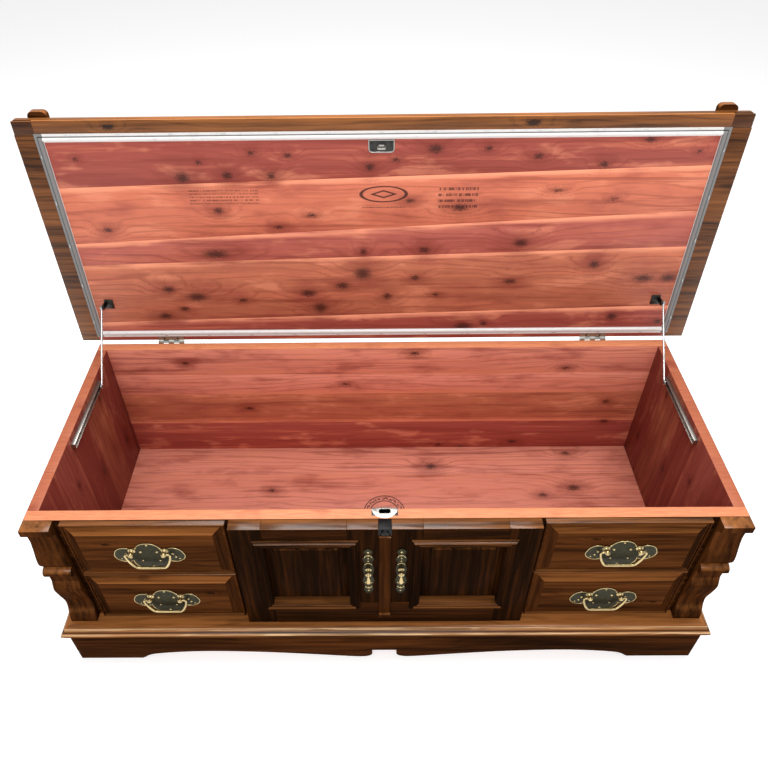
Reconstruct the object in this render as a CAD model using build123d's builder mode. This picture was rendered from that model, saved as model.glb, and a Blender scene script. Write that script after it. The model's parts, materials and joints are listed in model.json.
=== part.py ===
"""Cedar-lined blanket chest with a hinged lid, false drawer and door fronts and brass pulls.

Millimetres, +X to the right as seen from the front, +Y to the back, +Z up.
The origin is on the floor, in the middle of the chest with its lid standing open.
"""
import os
from math import cos, radians, sin, sqrt

from build123d import *

# Case
BODY_WIDTH = 1200
BODY_DEPTH = 445
HALF = BODY_WIDTH / 2
RIM_Z = 420
WALL = 20
FLOOR_TOP = 102
JOINT = 0.8
JOINT_DEPTH = 0.5

# Lid, and the gap under it that the seal closes
LID_WIDTH = 1272
LID_HALF = LID_WIDTH / 2
LID_DEPTH = 478
LID_BOARD = 14
LID_LINING = 5
LID_THICK = LID_BOARD + LID_LINING
LID_GAP = 5
RAIL_RISE = 18
RAIL_NOSE = 9
OPEN_ANGLE = 92.4
TILT = radians(OPEN_ANGLE - 90)

# Hinges
PIN_BEHIND = 3
PIN_RISE = LID_GAP / 2
BARREL_R = 2.5
PIN_R = 1.2
FIT = 0.05
HINGE_X = 447
HINGE_HALF = 27.5
LEAF_THICK = 1.2

# Front overlay: how far each layer stands in front of the case
FRAME_PROUD = 20.5
FRAME_HALF = 258.5
CAP_PROUD = 22
LIP_PROUD = 10
FIELD_PROUD = 15
LEDGE_Z = 117

# Base
LEDGE_FRONT = 41
LEDGE_SIDE = 18
NOSE_HEIGHT = 25
APRON_FRONT = 34
APRON_SIDE = 7
APRON_THICK = 18
APRON_TOP = LEDGE_Z - NOSE_HEIGHT

# The open lid's rear edge, and the chest's front placed so that the origin is in the middle
LID_REAR = PIN_BEHIND + PIN_BEHIND * sin(TILT) + PIN_RISE * cos(TILT)
OPEN_REACH = LID_REAR + (LID_DEPTH + RAIL_NOSE) * sin(TILT) + (LID_THICK + RAIL_RISE) * cos(TILT)
FRONT_Y = -(BODY_DEPTH + OPEN_REACH - LEDGE_FRONT) / 2
REAR_Y = FRONT_Y + BODY_DEPTH
PIN_Y = REAR_Y + PIN_BEHIND
PIN_Z = RIM_Z + PIN_RISE

SIDES = {"left": -1, "right": 1}


def front_plane(proud, x=0, z=0):
    """A plane facing the front, this far in front of the case. Its own axes are X and Z."""
    return Plane(origin=(x, FRONT_Y - proud, z), x_dir=(1, 0, 0), z_dir=(0, -1, 0))


def side_plane(x):
    """A plane across the chest at x. Its own axes are Y and Z."""
    return Plane.YZ.offset(x)


def lid_plane(depth=0):
    """The open lid's underside, or a plane this deep inside the lid, facing out of the underside.

    Its own axes are X and the distance from the lid's rear edge.
    """
    rear_z = PIN_Z + PIN_BEHIND * cos(TILT) - PIN_RISE * sin(TILT)
    under = Plane(origin=(0, REAR_Y + LID_REAR, rear_z), x_dir=(1, 0, 0), z_dir=(0, -cos(TILT), sin(TILT)))
    return under.offset(-depth)


def save(part, name):
    part.label = name
    export_step(part, f"parts/{name}.step")


def block(low, high, mode=Mode.ADD):
    """Add or cut a box given by two opposite corners, in any order."""
    with Locations(tuple((a + b) / 2 for a, b in zip(low, high))):
        Box(*(abs(b - a) for a, b in zip(low, high)), mode=mode)


def panel(low, high, mode=Mode.ADD):
    """Add or cut a rectangle given by two opposite corners, in any order."""
    with Locations(((low[0] + high[0]) / 2, (low[1] + high[1]) / 2)):
        Rectangle(abs(high[0] - low[0]), abs(high[1] - low[1]), mode=mode)


def front_faces(part):
    """The faces that look to the front, the foremost first."""
    return part.faces().filter_by(lambda face: face.normal_at().Y < -0.95).sort_by(Axis.Y)


# ---------------------------------------------------------------- lock, sizes that the boards need
LOCK_HALF = 22
LOCK_DROP = 42
LOCK_FRONT = 6
LOCK_BACK = 22.4
PLATE_THICK = 1.2
STEM_R = 3
BARREL_HALF = 11
BARREL_DROP = 18
BUTTON_R = 7
BUTTON_Z = RIM_Z - 9.5
BUTTON_OUT = 3.5


def lock_plate_outline():
    """A half-lens: a deep curve towards the front and a shallow one at the back."""
    tip = FRONT_Y + WALL
    with BuildLine() as outline:
        ThreePointArc((-23, tip), (0, FRONT_Y + 1.5), (23, tip))
        ThreePointArc((23, tip), (0, tip + 3.5), (-23, tip))
    make_face(outline.edges())


# ---------------------------------------------------------------- case boards
def front_board():
    with BuildPart() as board:
        block((-HALF, FRONT_Y, APRON_TOP), (HALF, FRONT_Y + WALL, RIM_Z))
        low = (-LOCK_HALF, FRONT_Y + LOCK_FRONT, RIM_Z - LOCK_DROP)
        block(low, (LOCK_HALF, FRONT_Y + WALL, RIM_Z), Mode.SUBTRACT)
        with BuildSketch(Plane.XY.offset(RIM_Z)):
            lock_plate_outline()
        extrude(amount=-PLATE_THICK, mode=Mode.SUBTRACT)
        with BuildSketch(front_plane(0, 0, BUTTON_Z)):
            Circle(STEM_R + FIT)
        extrude(amount=-LOCK_FRONT, mode=Mode.SUBTRACT)
    save(board.part, "front_board")


REAR_JOINTS = (74, 135, 228)


def rear_boards():
    """Long boards one above another, with a fine joint line between them on the inside."""
    inside = REAR_Y - WALL
    with BuildPart() as boards:
        block((-HALF, inside, APRON_TOP), (HALF, REAR_Y, RIM_Z))
        for drop in REAR_JOINTS:
            low = (-HALF, inside, RIM_Z - drop)
            block(low, (HALF, inside + JOINT_DEPTH, RIM_Z - drop + JOINT), Mode.SUBTRACT)
    save(boards.part, "rear_boards")


END_BOARDS = 5


def end_boards(name, side):
    """Upright boards between the front and rear walls."""
    inside = side * (HALF - WALL)
    low_y = FRONT_Y + WALL
    high_y = REAR_Y - WALL
    pitch = (high_y - low_y) / END_BOARDS
    with BuildPart() as boards:
        block((inside, low_y, APRON_TOP), (side * HALF, high_y, RIM_Z))
        for index in range(1, END_BOARDS):
            joint = low_y + index * pitch
            low = (inside, joint, APRON_TOP)
            block(low, (inside + side * JOINT_DEPTH, joint + JOINT, RIM_Z), Mode.SUBTRACT)
    save(boards.part, name)


# Joints between the floor's boards, from the front board's face
FLOOR_JOINTS = (128, 236, 345)


def floor_boards():
    inner = HALF - WALL
    with BuildPart() as boards:
        block((-inner, FRONT_Y + WALL, APRON_TOP), (inner, REAR_Y - WALL, FLOOR_TOP))
        for distance in FLOOR_JOINTS:
            joint = FRONT_Y + distance
            low = (-inner, joint, FLOOR_TOP - JOINT_DEPTH)
            block(low, (inner, joint + JOINT, FLOOR_TOP), Mode.SUBTRACT)
    save(boards.part, "floor_boards")


# ---------------------------------------------------------------- false doors
DOOR_X = 133.5
DOOR_Z = RIM_Z - 140
DOOR_OUTER = (88.5, 109.5)
MOULD_WIDTH = 18
FIELD_MARGIN = 34


def door_rectangle(inset, mode=Mode.ADD):
    """A rectangle this far inside the door moulding's outer edge."""
    Rectangle(2 * (DOOR_OUTER[0] - inset), 2 * (DOOR_OUTER[1] - inset), mode=mode)


def front_frame():
    """Rails and stiles of the middle third, open for two panels and notched for the lock's barrel."""
    with BuildPart() as frame:
        with BuildSketch(front_plane(0)):
            panel((-FRAME_HALF, LEDGE_Z), (FRAME_HALF, RIM_Z))
            panel((-BARREL_HALF, RIM_Z - BARREL_DROP), (BARREL_HALF, RIM_Z), Mode.SUBTRACT)
            with Locations((-DOOR_X, DOOR_Z), (DOOR_X, DOOR_Z)):
                door_rectangle(MOULD_WIDTH, Mode.SUBTRACT)
        extrude(amount=FRAME_PROUD)
        outer = frame.edges().filter_by(Axis.Z).group_by(Axis.Y)[0].sort_by(Axis.X)
        chamfer((outer[0], outer[-1]), 1.5)
    save(frame.part, "front_frame")


def door_panel(name, side):
    """A flat back, a sloping margin and a raised field with a small step round it."""
    x = side * DOOR_X
    with BuildPart() as door:
        with BuildSketch(front_plane(0, x, DOOR_Z)):
            door_rectangle(MOULD_WIDTH)
        extrude(amount=8)
        with BuildSketch(front_plane(8, x, DOOR_Z)):
            door_rectangle(MOULD_WIDTH + 2)
        with BuildSketch(front_plane(13, x, DOOR_Z)):
            door_rectangle(FIELD_MARGIN)
        loft()
        with BuildSketch(front_plane(13, x, DOOR_Z)):
            door_rectangle(FIELD_MARGIN)
        extrude(amount=4)
        fillet(front_faces(door)[0].edges(), 1.2)
    save(door.part, name)


def door_moulding(name, side):
    """A frame round the opening: a big bead, a small bead, and flats beside them."""
    beads = ((3, 9, 6.5, 2.4), (11.5, 15, 5, 1.5))
    flats = ((0, 3, 3), (9, 11.5, 3.4), (15, MOULD_WIDTH, 3.4))
    with BuildPart() as moulding:
        for outer, inner, rise, radius in beads:
            with BuildSketch(front_plane(FRAME_PROUD, side * DOOR_X, DOOR_Z)):
                door_rectangle(outer)
                door_rectangle(inner, Mode.SUBTRACT)
            extrude(amount=rise)
            crown = front_faces(moulding).group_by(Axis.Y)[0 if rise > 6 else -1]
            fillet(crown.edges(), radius)
        for outer, inner, rise in flats:
            with BuildSketch(front_plane(FRAME_PROUD, side * DOOR_X, DOOR_Z)):
                door_rectangle(outer)
                door_rectangle(inner, Mode.SUBTRACT)
            extrude(amount=rise)
    save(moulding.part, name)


POST_HALF = 10.5
POST_PROUD = 4
POST_FOOT = RIM_Z - 262
FOOT_TALL = 9


def centre_post():
    """The strip that covers the joint between the doors, with a small arched block at its foot."""
    with BuildPart() as post:
        with BuildSketch(front_plane(FRAME_PROUD)):
            panel((-POST_HALF, POST_FOOT), (POST_HALF, RIM_Z - BARREL_DROP))
        extrude(amount=POST_PROUD)
        chamfer(post.edges().filter_by(Axis.Z).group_by(Axis.Y)[0], 1.5)
        with BuildSketch(front_plane(FRAME_PROUD)):
            panel((-POST_HALF, POST_FOOT - FOOT_TALL), (POST_HALF, POST_FOOT))
            panel((-POST_HALF + 3, POST_FOOT - FOOT_TALL), (POST_HALF - 3, POST_FOOT - 4), Mode.SUBTRACT)
        extrude(amount=2 * POST_PROUD)
    save(post.part, "centre_post")


# ---------------------------------------------------------------- false drawers and pilasters
DRAWER_X = 401.5
DRAWER_HALF = (136.5, 73)
DRAWER_Z = {"upper": RIM_Z - 74.5, "lower": RIM_Z - 224}
BEVEL = 18
LIP = 4


def drawer_front(name, x, z):
    """A flat back with a rounded lip, a fillet, a wide bevel and a raised field."""
    width, height = 2 * DRAWER_HALF[0], 2 * DRAWER_HALF[1]
    root = LIP_PROUD - 3
    with BuildPart() as front:
        with BuildSketch(front_plane(0, x, z)):
            Rectangle(width, height)
        extrude(amount=LIP_PROUD)
        fillet(front_faces(front)[0].edges(), 2)
        with BuildSketch(front_plane(root, x, z)):
            Rectangle(width - 2 * LIP, height - 2 * LIP)
        extrude(amount=LIP_PROUD, mode=Mode.SUBTRACT)
        with BuildSketch(front_plane(root, x, z)):
            Rectangle(width - 2 * LIP - 3, height - 2 * LIP - 3)
        with BuildSketch(front_plane(FIELD_PROUD, x, z)):
            Rectangle(width - 2 * (LIP + BEVEL), height - 2 * (LIP + BEVEL))
        loft()
    save(front.part, name)


def pilaster_outline():
    """A sawn profile: square cap, cove, long swell, half-round ring, vase and flared foot."""
    drop = RIM_Z - LEDGE_Z

    def at(proud, down):
        return (FRONT_Y - proud, RIM_Z - down)

    with BuildLine() as outline:
        Polyline(at(0, 0), at(CAP_PROUD, 0), at(CAP_PROUD, 15), at(18, 15), at(18, 19))
        ThreePointArc(at(18, 19), at(11.5, 24), at(9, 33))
        Spline(at(9, 33), at(9, 50), at(12.5, 70), at(17.2, 90), at(18, 106), at(12, 119))
        Line(at(12, 119), at(11, 122))
        ThreePointArc(at(11, 122), at(22, 133), at(11, 144))
        Line(at(11, 144), at(10, 168))
        Spline(at(10, 168), at(14.5, 181), at(16.3, 193), at(11, 222), at(5.5, 248), at(7.5, 266), at(13, 280),
               at(17, 297))
        Polyline(at(17, 297), at(17, drop), at(0, drop), at(0, 0))
    make_face(outline.edges())


PILASTER_WIDTH = 50


def pilaster(name, side):
    with BuildPart() as board:
        with BuildSketch(side_plane(side * (HALF - PILASTER_WIDTH))):
            pilaster_outline()
        extrude(amount=side * PILASTER_WIDTH)
    save(board.part, name)


# ---------------------------------------------------------------- base
def moulding_profile(outer, inward):
    """The base moulding's section: flat ledge, small step, cove and round nose.

    outer is the outermost place and inward is +1 or -1, towards the chest.
    """
    def at(depth, down):
        return (outer + inward * depth, LEDGE_Z - down)

    with BuildLine() as outline:
        Line(at(60, 0), at(9, 0))
        ThreePointArc(at(9, 0), at(7.6, 0.9), at(7, 2.5))
        Line(at(7, 2.5), at(8, 3.5))
        ThreePointArc(at(8, 3.5), at(6.6, 7.4), at(3, 9.5))
        ThreePointArc(at(3, 9.5), at(0, 16), at(3, 22.5))
        Polyline(at(3, 22.5), at(3, NOSE_HEIGHT), at(60, NOSE_HEIGHT), at(60, 0))
    make_face(outline.edges())


def side_plan(side, half, front, depth):
    """Plan of a board down one side, mitred at the front."""
    inner = side * (half - depth)
    with BuildLine() as outline:
        Polyline((side * half, front), (side * half, REAR_Y), (inner, REAR_Y), (inner, front + depth),
                 (side * half, front))
    make_face(outline.edges())


def base_moulding_front():
    front = FRONT_Y - LEDGE_FRONT
    half = HALF + LEDGE_SIDE
    mitre = front + LEDGE_SIDE
    with BuildPart() as moulding:
        with BuildSketch(side_plane(-half)):
            moulding_profile(front, 1)
        extrude(amount=2 * half)
        with BuildSketch(Plane.XY.offset(APRON_TOP)):
            with BuildLine():
                Polyline((-half, front), (half, front), (HALF, mitre), (HALF, FRONT_Y), (-HALF, FRONT_Y),
                         (-HALF, mitre), (-half, front))
            make_face()
        extrude(amount=NOSE_HEIGHT, mode=Mode.INTERSECT)
    save(moulding.part, "base_moulding_front")


def base_moulding_side(name, side):
    front = FRONT_Y - LEDGE_FRONT
    half = HALF + LEDGE_SIDE
    with BuildPart() as moulding:
        with BuildSketch(front_plane(-BODY_DEPTH)):
            moulding_profile(side * half, -side)
        extrude(amount=BODY_DEPTH + LEDGE_FRONT)
        with BuildSketch(Plane.XY.offset(APRON_TOP)):
            side_plan(side, half, front, LEDGE_SIDE)
        extrude(amount=NOSE_HEIGHT, mode=Mode.INTERSECT)
    save(moulding.part, name)


FOOT_END = 484
DROP_X = 57
NOTCH_HALF = 24
NOTCH_TOP = 29


def front_scroll(side):
    """Half of the cut under the front: an ogee up from the foot, a long slope and a rounded drop."""
    def at(x, z):
        return (side * x, z)

    with BuildLine() as outline:
        Line(at(FOOT_END, 0), at(FOOT_END - 4, 2.5))
        Spline(at(FOOT_END - 4, 2.5), at(459, 16), at(402, 24.5), at(336, 27), at(240, 22.5), at(142, 12.5),
               at(DROP_X, 2.5), at(32, 4.5), at(NOTCH_HALF, 12))
        Polyline(at(NOTCH_HALF, 12), at(NOTCH_HALF, -1), at(FOOT_END, -1), at(FOOT_END, 0))
    make_face(outline.edges())


def apron_front():
    front = FRONT_Y - APRON_FRONT
    half = HALF + APRON_SIDE
    inner = half - APRON_THICK
    with BuildPart() as apron:
        with BuildSketch():
            with BuildLine():
                Polyline((-half, front), (half, front), (inner, front + APRON_THICK),
                         (-inner, front + APRON_THICK), (-half, front))
            make_face()
        extrude(amount=APRON_TOP)
        with BuildSketch(front_plane(APRON_FRONT)):
            for side in SIDES.values():
                front_scroll(side)
            panel((-NOTCH_HALF, -1), (NOTCH_HALF, NOTCH_TOP))
        extrude(amount=-APRON_THICK, mode=Mode.SUBTRACT)
    save(apron.part, "apron_front")


SIDE_FOOT = 110
ARCH_TALL = 26


def apron_side(name, side):
    front = FRONT_Y - APRON_FRONT
    half = HALF + APRON_SIDE
    low = front + SIDE_FOOT
    high = REAR_Y - SIDE_FOOT
    with BuildPart() as apron:
        with BuildSketch():
            side_plan(side, half, front, APRON_THICK)
        extrude(amount=APRON_TOP)
        with BuildSketch(side_plane(side * half)):
            with BuildLine():
                Spline((low, 0), (low + 25, 16), ((low + high) / 2, ARCH_TALL), (high - 25, 16), (high, 0))
                Polyline((high, 0), (high, -1), (low, -1), (low, 0))
            make_face()
        extrude(amount=-side * APRON_THICK, mode=Mode.SUBTRACT)
    save(apron.part, name)


def apron_rear():
    inner = HALF + APRON_SIDE - APRON_THICK
    with BuildPart() as apron:
        block((-inner, REAR_Y - APRON_THICK, 0), (inner, REAR_Y, APRON_TOP))
        low = (-inner + SIDE_FOOT, REAR_Y - APRON_THICK, 0)
        block(low, (inner - SIDE_FOOT, REAR_Y, ARCH_TALL), Mode.SUBTRACT)
    save(apron.part, "apron_rear")


# ---------------------------------------------------------------- lid
SEAM_X = 600
SEAM_S = 453
SEAL_OUTER = (602, 455)
SEAL_INNER = (587, 440)
SEAL_REAR = (10, 22)

# Joints between the lining's tapered boards, as distances from the rear at the left and right ends
LINING_JOINTS = ((47, 81), (187, 219), (235, 296), (352, 386))


def lid_top():
    with BuildPart() as top:
        with BuildSketch(lid_plane(LID_LINING)) as outline:
            panel((-LID_HALF, 0), (LID_HALF, LID_DEPTH))
            fillet(outline.vertices(), 6)
        extrude(amount=-LID_BOARD)
        outside = top.faces().filter_by(lambda face: face.normal_at().Y > 0.95)
        fillet(outside.edges(), 5)
    save(top.part, "lid_top")


def lid_strip(name, corners):
    """Flat strips round the lid's underside, each given by two opposite corners."""
    with BuildPart() as strip:
        with BuildSketch(lid_plane()):
            for low, high in corners:
                panel(low, high)
        extrude(amount=-LID_LINING)
    save(strip.part, name)


def lid_strips():
    lid_strip("lid_front_rail", [((-SEAM_X, SEAM_S), (SEAM_X, LID_DEPTH))])
    edges = []
    corners = []
    for side in SIDES.values():
        edges.append(((side * SEAM_X, 0), (side * LID_HALF, SEAM_S)))
        corners.append(((side * SEAM_X, SEAM_S), (side * (LID_HALF - 1), LID_DEPTH - 1)))
    lid_strip("lid_end_strips", edges)
    lid_strip("lid_corner_blocks", corners)


def lid_lining():
    """Long tapered cedar boards across the lid's underside, with fine joints."""
    with BuildPart() as lining:
        with BuildSketch(lid_plane()):
            panel((-SEAM_X, 0), (SEAM_X, SEAM_S))
        extrude(amount=-LID_LINING)
        with BuildSketch(lid_plane()):
            for left, right in LINING_JOINTS:
                with BuildLine():
                    Polyline((-SEAM_X, left), (SEAM_X, right), (SEAM_X, right + JOINT),
                             (-SEAM_X, left + JOINT), (-SEAM_X, left))
                make_face()
        extrude(amount=-JOINT_DEPTH, mode=Mode.SUBTRACT)
    save(lining.part, "lid_lining")


def lid_rail(name, side):
    """A rounded rail on the lid's outside, running from back to front and past the front edge."""
    low, high = 579, 612
    with BuildPart() as rail:
        with BuildSketch(lid_plane(LID_THICK)) as outline:
            panel((side * low, 12), (side * high, LID_DEPTH + RAIL_NOSE))
            fillet(outline.vertices(), 9)
        extrude(amount=-RAIL_RISE)
        crown = rail.faces().filter_by(lambda face: face.normal_at().Y > 0.95)
        fillet(crown.edges(), 7)
    save(rail.part, name)


def seal_ring(outer, inner, rear):
    """A rectangular ring on the lid's underside."""
    panel((-outer[0], rear[0]), (outer[0], outer[1]))
    panel((-inner[0], rear[1]), (inner[0], inner[1]), Mode.SUBTRACT)


def lid_seal():
    """A flat flange with a round bead on its inner half, all round the lid."""
    bead_outer = (SEAL_INNER[0] + 8, SEAL_INNER[1] + 8)
    bead_inner = (SEAL_INNER[0] + 1, SEAL_INNER[1] + 1)
    with BuildPart() as seal:
        with BuildSketch(lid_plane()):
            seal_ring(bead_outer, bead_inner, (SEAL_REAR[0] + 4, SEAL_REAR[1] - 1))
        extrude(amount=4.4)
        crown = seal.faces().filter_by(lambda face: face.normal_at().Y < -0.95).sort_by(Axis.Y)[0]
        fillet(crown.edges(), 2.5)
        with BuildSketch(lid_plane()):
            seal_ring(SEAL_OUTER, SEAL_INNER, SEAL_REAR)
        extrude(amount=1)
    save(seal.part, "lid_seal")


KEEPER_S = (415, 439)
STAPLE_S = (427, 430)
STAPLE_DEEP = 17


def keeper_plate():
    """The catch on the lid: a plate with round lower corners and a staple that enters the lock."""
    with BuildPart() as keeper:
        with BuildSketch(lid_plane()) as outline:
            panel((-23, KEEPER_S[0]), (23, KEEPER_S[1]))
            fillet(outline.vertices().sort_by(Axis.Y)[:2], 7)
        extrude(amount=1.5)
        with BuildSketch(lid_plane()):
            panel((-7.5, STAPLE_S[0]), (7.5, STAPLE_S[1]))
        extrude(amount=STAPLE_DEEP)
        with BuildSketch(lid_plane(-1.5)):
            panel((-5, STAPLE_S[0]), (5, STAPLE_S[1]))
        extrude(amount=STAPLE_DEEP - 4.5, mode=Mode.SUBTRACT)
    save(keeper.part, "keeper_plate")


# ---------------------------------------------------------------- hinges
KNUCKLES = 5
KNUCKLE_GAP = 0.3


def knuckle_span(hinge_x, index):
    """The two ends in X of one knuckle."""
    pitch = 2 * HINGE_HALF / KNUCKLES
    low = hinge_x - HINGE_HALF + index * pitch
    return low + KNUCKLE_GAP / 2, low + pitch - KNUCKLE_GAP / 2


def barrel(low, high, bore):
    """A knuckle's barrel round the hinge pin."""
    for radius, mode in ((BARREL_R, Mode.ADD), (bore, Mode.SUBTRACT)):
        with BuildSketch(side_plane(low)) as ring:
            with Locations((PIN_Y, PIN_Z)):
                Circle(radius)
        extrude(ring.sketch, amount=high - low, mode=mode)


def case_hinge_leaves():
    """Leaves on the back of the case, each with three knuckles."""
    with BuildPart() as leaves:
        for side in SIDES.values():
            x = side * HINGE_X
            block((x - HINGE_HALF, REAR_Y, RIM_Z - 26), (x + HINGE_HALF, REAR_Y + LEAF_THICK, RIM_Z - 1))
            for index in range(0, KNUCKLES, 2):
                low, high = knuckle_span(x, index)
                block((low, REAR_Y, RIM_Z - 1), (high, REAR_Y + LEAF_THICK, PIN_Z))
                barrel(low, high, PIN_R)
    save(leaves.part, "case_hinge_leaves")


def lid_hinge_leaves():
    """Leaves on the lid's underside, each with two knuckles."""
    with BuildPart() as leaves:
        for side in SIDES.values():
            x = side * HINGE_X
            with BuildSketch(lid_plane()):
                panel((x - HINGE_HALF, 0), (x + HINGE_HALF, 9.6))
                for index in range(1, KNUCKLES, 2):
                    low, high = knuckle_span(x, index)
                    panel((low, -PIN_BEHIND), (high, 0))
            extrude(amount=LEAF_THICK)
            for index in range(1, KNUCKLES, 2):
                low, high = knuckle_span(x, index)
                barrel(low, high, PIN_R + FIT)
    save(leaves.part, "lid_hinge_leaves")


def hinge_pins():
    with BuildPart() as pins:
        for side in SIDES.values():
            with BuildSketch(side_plane(side * HINGE_X - HINGE_HALF)):
                with Locations((PIN_Y, PIN_Z)):
                    Circle(PIN_R)
            extrude(amount=2 * HINGE_HALF)
    save(pins.part, "hinge_pins")


# ---------------------------------------------------------------- lid stays
STAY_S = 95
STAY_DEEP = 12
ROD_IN = 567
ROD_OUT = 571
ROD_R = 2
EYE_R = 5
TRACK_IN = 572
TRACK_DROP = 19
TRACK_Y = (176, 346)
SLIDER_Y = 335
TRACK_HALF = 6
STAY_PIN_R = 1.5

# Where a rod's two ends are while the lid is open, and where its slider is while the lid is shut
STAY_TOP = (REAR_Y + LID_REAR + STAY_S * sin(TILT) - STAY_DEEP * cos(TILT),
            PIN_Z + (PIN_BEHIND + STAY_S) * cos(TILT) + (STAY_DEEP - PIN_RISE) * sin(TILT))
STAY_FOOT = (FRONT_Y + SLIDER_Y, RIM_Z - TRACK_DROP)
ROD_LENGTH = sqrt((STAY_TOP[0] - STAY_FOOT[0]) ** 2 + (STAY_TOP[1] - STAY_FOOT[1]) ** 2)
SHUT_TOP = (REAR_Y - STAY_S, RIM_Z + LID_GAP - STAY_DEEP)
SHUT_FOOT_Y = SHUT_TOP[0] - sqrt(ROD_LENGTH ** 2 - (SHUT_TOP[1] - STAY_FOOT[1]) ** 2)


def stay_brackets():
    """A screwed plate on the lid with an ear and a rivet for the rod, at each end."""
    with BuildPart() as brackets:
        for side in SIDES.values():
            with BuildSketch(lid_plane()):
                panel((side * 548, STAY_S - 11), (side * 566, STAY_S + 11))
            extrude(amount=1.5)
            with BuildSketch(lid_plane()):
                panel((side * 564, STAY_S - 6), (side * 566, STAY_S + 6))
            extrude(amount=STAY_DEEP)
            with BuildSketch(side_plane(side * 564)):
                with Locations(STAY_TOP):
                    Circle(6)
            extrude(amount=side * 2)
            with BuildSketch(side_plane(side * 564)):
                with Locations(STAY_TOP):
                    Circle(STAY_PIN_R)
            extrude(amount=side * (ROD_OUT + 0.3 - 564))
            with BuildSketch(side_plane(side * (ROD_OUT + 0.3))):
                with Locations(STAY_TOP):
                    Circle(3)
            extrude(amount=side * 1)
    save(brackets.part, "stay_brackets")


def stay_rod(name, side):
    """A round rod with a flat eye at each end."""
    middle = side * (ROD_IN + ROD_OUT) / 2
    along = (0, STAY_FOOT[0] - STAY_TOP[0], STAY_FOOT[1] - STAY_TOP[1])
    with BuildPart() as rod:
        with BuildSketch(Plane(origin=(middle, *STAY_TOP), z_dir=along).offset(EYE_R - 1)):
            Circle(ROD_R - 0.02)
        extrude(amount=ROD_LENGTH - 2 * EYE_R + 2)
        with BuildSketch(side_plane(side * ROD_IN)):
            with Locations(STAY_TOP, STAY_FOOT):
                Circle(EYE_R)
        extrude(amount=side * (ROD_OUT - ROD_IN))
        with BuildSketch(side_plane(side * ROD_IN)):
            with Locations(STAY_TOP, STAY_FOOT):
                Circle(STAY_PIN_R + FIT)
        extrude(amount=side * (ROD_OUT - ROD_IN), mode=Mode.SUBTRACT)
    save(rod.part, name)


def stay_tracks():
    """A channel on each end wall, just under the rim, open towards the inside."""
    wall = HALF - WALL
    with BuildPart() as tracks:
        for side in SIDES.values():
            low_y, high_y = (FRONT_Y + end for end in TRACK_Y)
            z = STAY_FOOT[1]
            block((side * TRACK_IN, low_y, z - TRACK_HALF), (side * wall, high_y, z + TRACK_HALF))
            low = (side * TRACK_IN, low_y + 1.5, z - TRACK_HALF + 1.5)
            block(low, (side * (wall - 1.5), high_y - 1.5, z + TRACK_HALF - 1.5), Mode.SUBTRACT)
    save(tracks.part, "stay_tracks")


def stay_slider(name, side):
    """The block that runs in the track."""
    y, z = STAY_FOOT
    with BuildPart() as slider:
        block((side * (TRACK_IN + 0.3), y - 8, z - 4.2), (side * (HALF - WALL - 1.8), y + 8, z + 4.2))
    save(slider.part, name)


# ---------------------------------------------------------------- pulls
PULL_Z = {"upper": RIM_Z - 82, "lower": RIM_Z - 231}
PULL_PLATE = 1.6
POST_X = 28
POST_UP = 17
POST_REACH = 12
PULL_POST_R = 4.5
BAIL_R = 1.8
BAIL_DEEP = 7.5


def pull_outline():
    """A wide plate with a domed middle and a round lobe on each side."""
    with BuildLine() as outline:
        ThreePointArc((0, 38), (11, 36), (20, 27))
        ThreePointArc((20, 27), (23.5, 21), (28, 19))
        ThreePointArc((28, 19), (46, 25), (59, 11))
        ThreePointArc((59, 11), (61, 0), (54, -11))
        ThreePointArc((54, -11), (43, -16), (31, -13))
        ThreePointArc((31, -13), (29, -24), (20, -33))
        ThreePointArc((20, -33), (10, -37.5), (0, -39))
        mirror(about=Plane.YZ)
    make_face(outline.edges())


def pull_plates(places):
    with BuildPart() as plates:
        for x, z in places:
            with BuildSketch(front_plane(FIELD_PROUD, x, z)):
                pull_outline()
            extrude(amount=PULL_PLATE)
    save(plates.part, "pull_plates")


def pull_posts(places):
    """Two posts on each plate, each with a flared foot and a cross hole for the bail."""
    face = FIELD_PROUD + PULL_PLATE
    with BuildPart() as posts:
        for x, z in places:
            with BuildSketch(front_plane(face, x, z)):
                with Locations((-POST_X, POST_UP), (POST_X, POST_UP)):
                    Circle(6.5)
            extrude(amount=1.5)
            with BuildSketch(front_plane(face, x, z)):
                with Locations((-POST_X, POST_UP), (POST_X, POST_UP)):
                    Circle(PULL_POST_R)
            extrude(amount=POST_REACH)
            with BuildSketch(side_plane(x - POST_X - PULL_POST_R)):
                with Locations((FRONT_Y - face - BAIL_DEEP, z + POST_UP)):
                    Circle(BAIL_R + FIT)
            extrude(amount=2 * (POST_X + PULL_POST_R), mode=Mode.SUBTRACT)
    save(posts.part, "pull_posts")


# The bail's curve from one end to the other: radius and turn of each arc
BAIL_ARCS = ((4, 97), (75, 25), (9, 56), (581, 4), (9, 56), (75, 25), (4, 97))


def bail(name, x, z):
    """A swan-necked handle whose ends turn into the posts."""
    end = POST_X - PULL_POST_R
    with BuildPart() as handle:
        with BuildLine():
            piece = Line((-end, 0), (-end - 11, 0))
            for radius, turn in BAIL_ARCS:
                piece = JernArc(piece @ 1, piece % 1, radius, turn)
            Line(piece @ 1, (end, 0))
        with BuildSketch(Plane(origin=(-end, 0, 0), z_dir=(-1, 0, 0))):
            Circle(BAIL_R)
        sweep()
    place = front_plane(FIELD_PROUD + PULL_PLATE + BAIL_DEEP, x, z + POST_UP)
    save(handle.part.moved(place.location), name)


# ---------------------------------------------------------------- pendants
PENDANT_X = 28.5
PENDANT_Z = RIM_Z - 125
PENDANT_HALF = 72
PENDANT_PLATE = 1.5
KNOB_UP = 7
KNOB_R = 5.5
KNOB_REACH = 13
SLOT_R = 2
DROP_PIN_R = 1.2
DROP_REACH = 8


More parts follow.
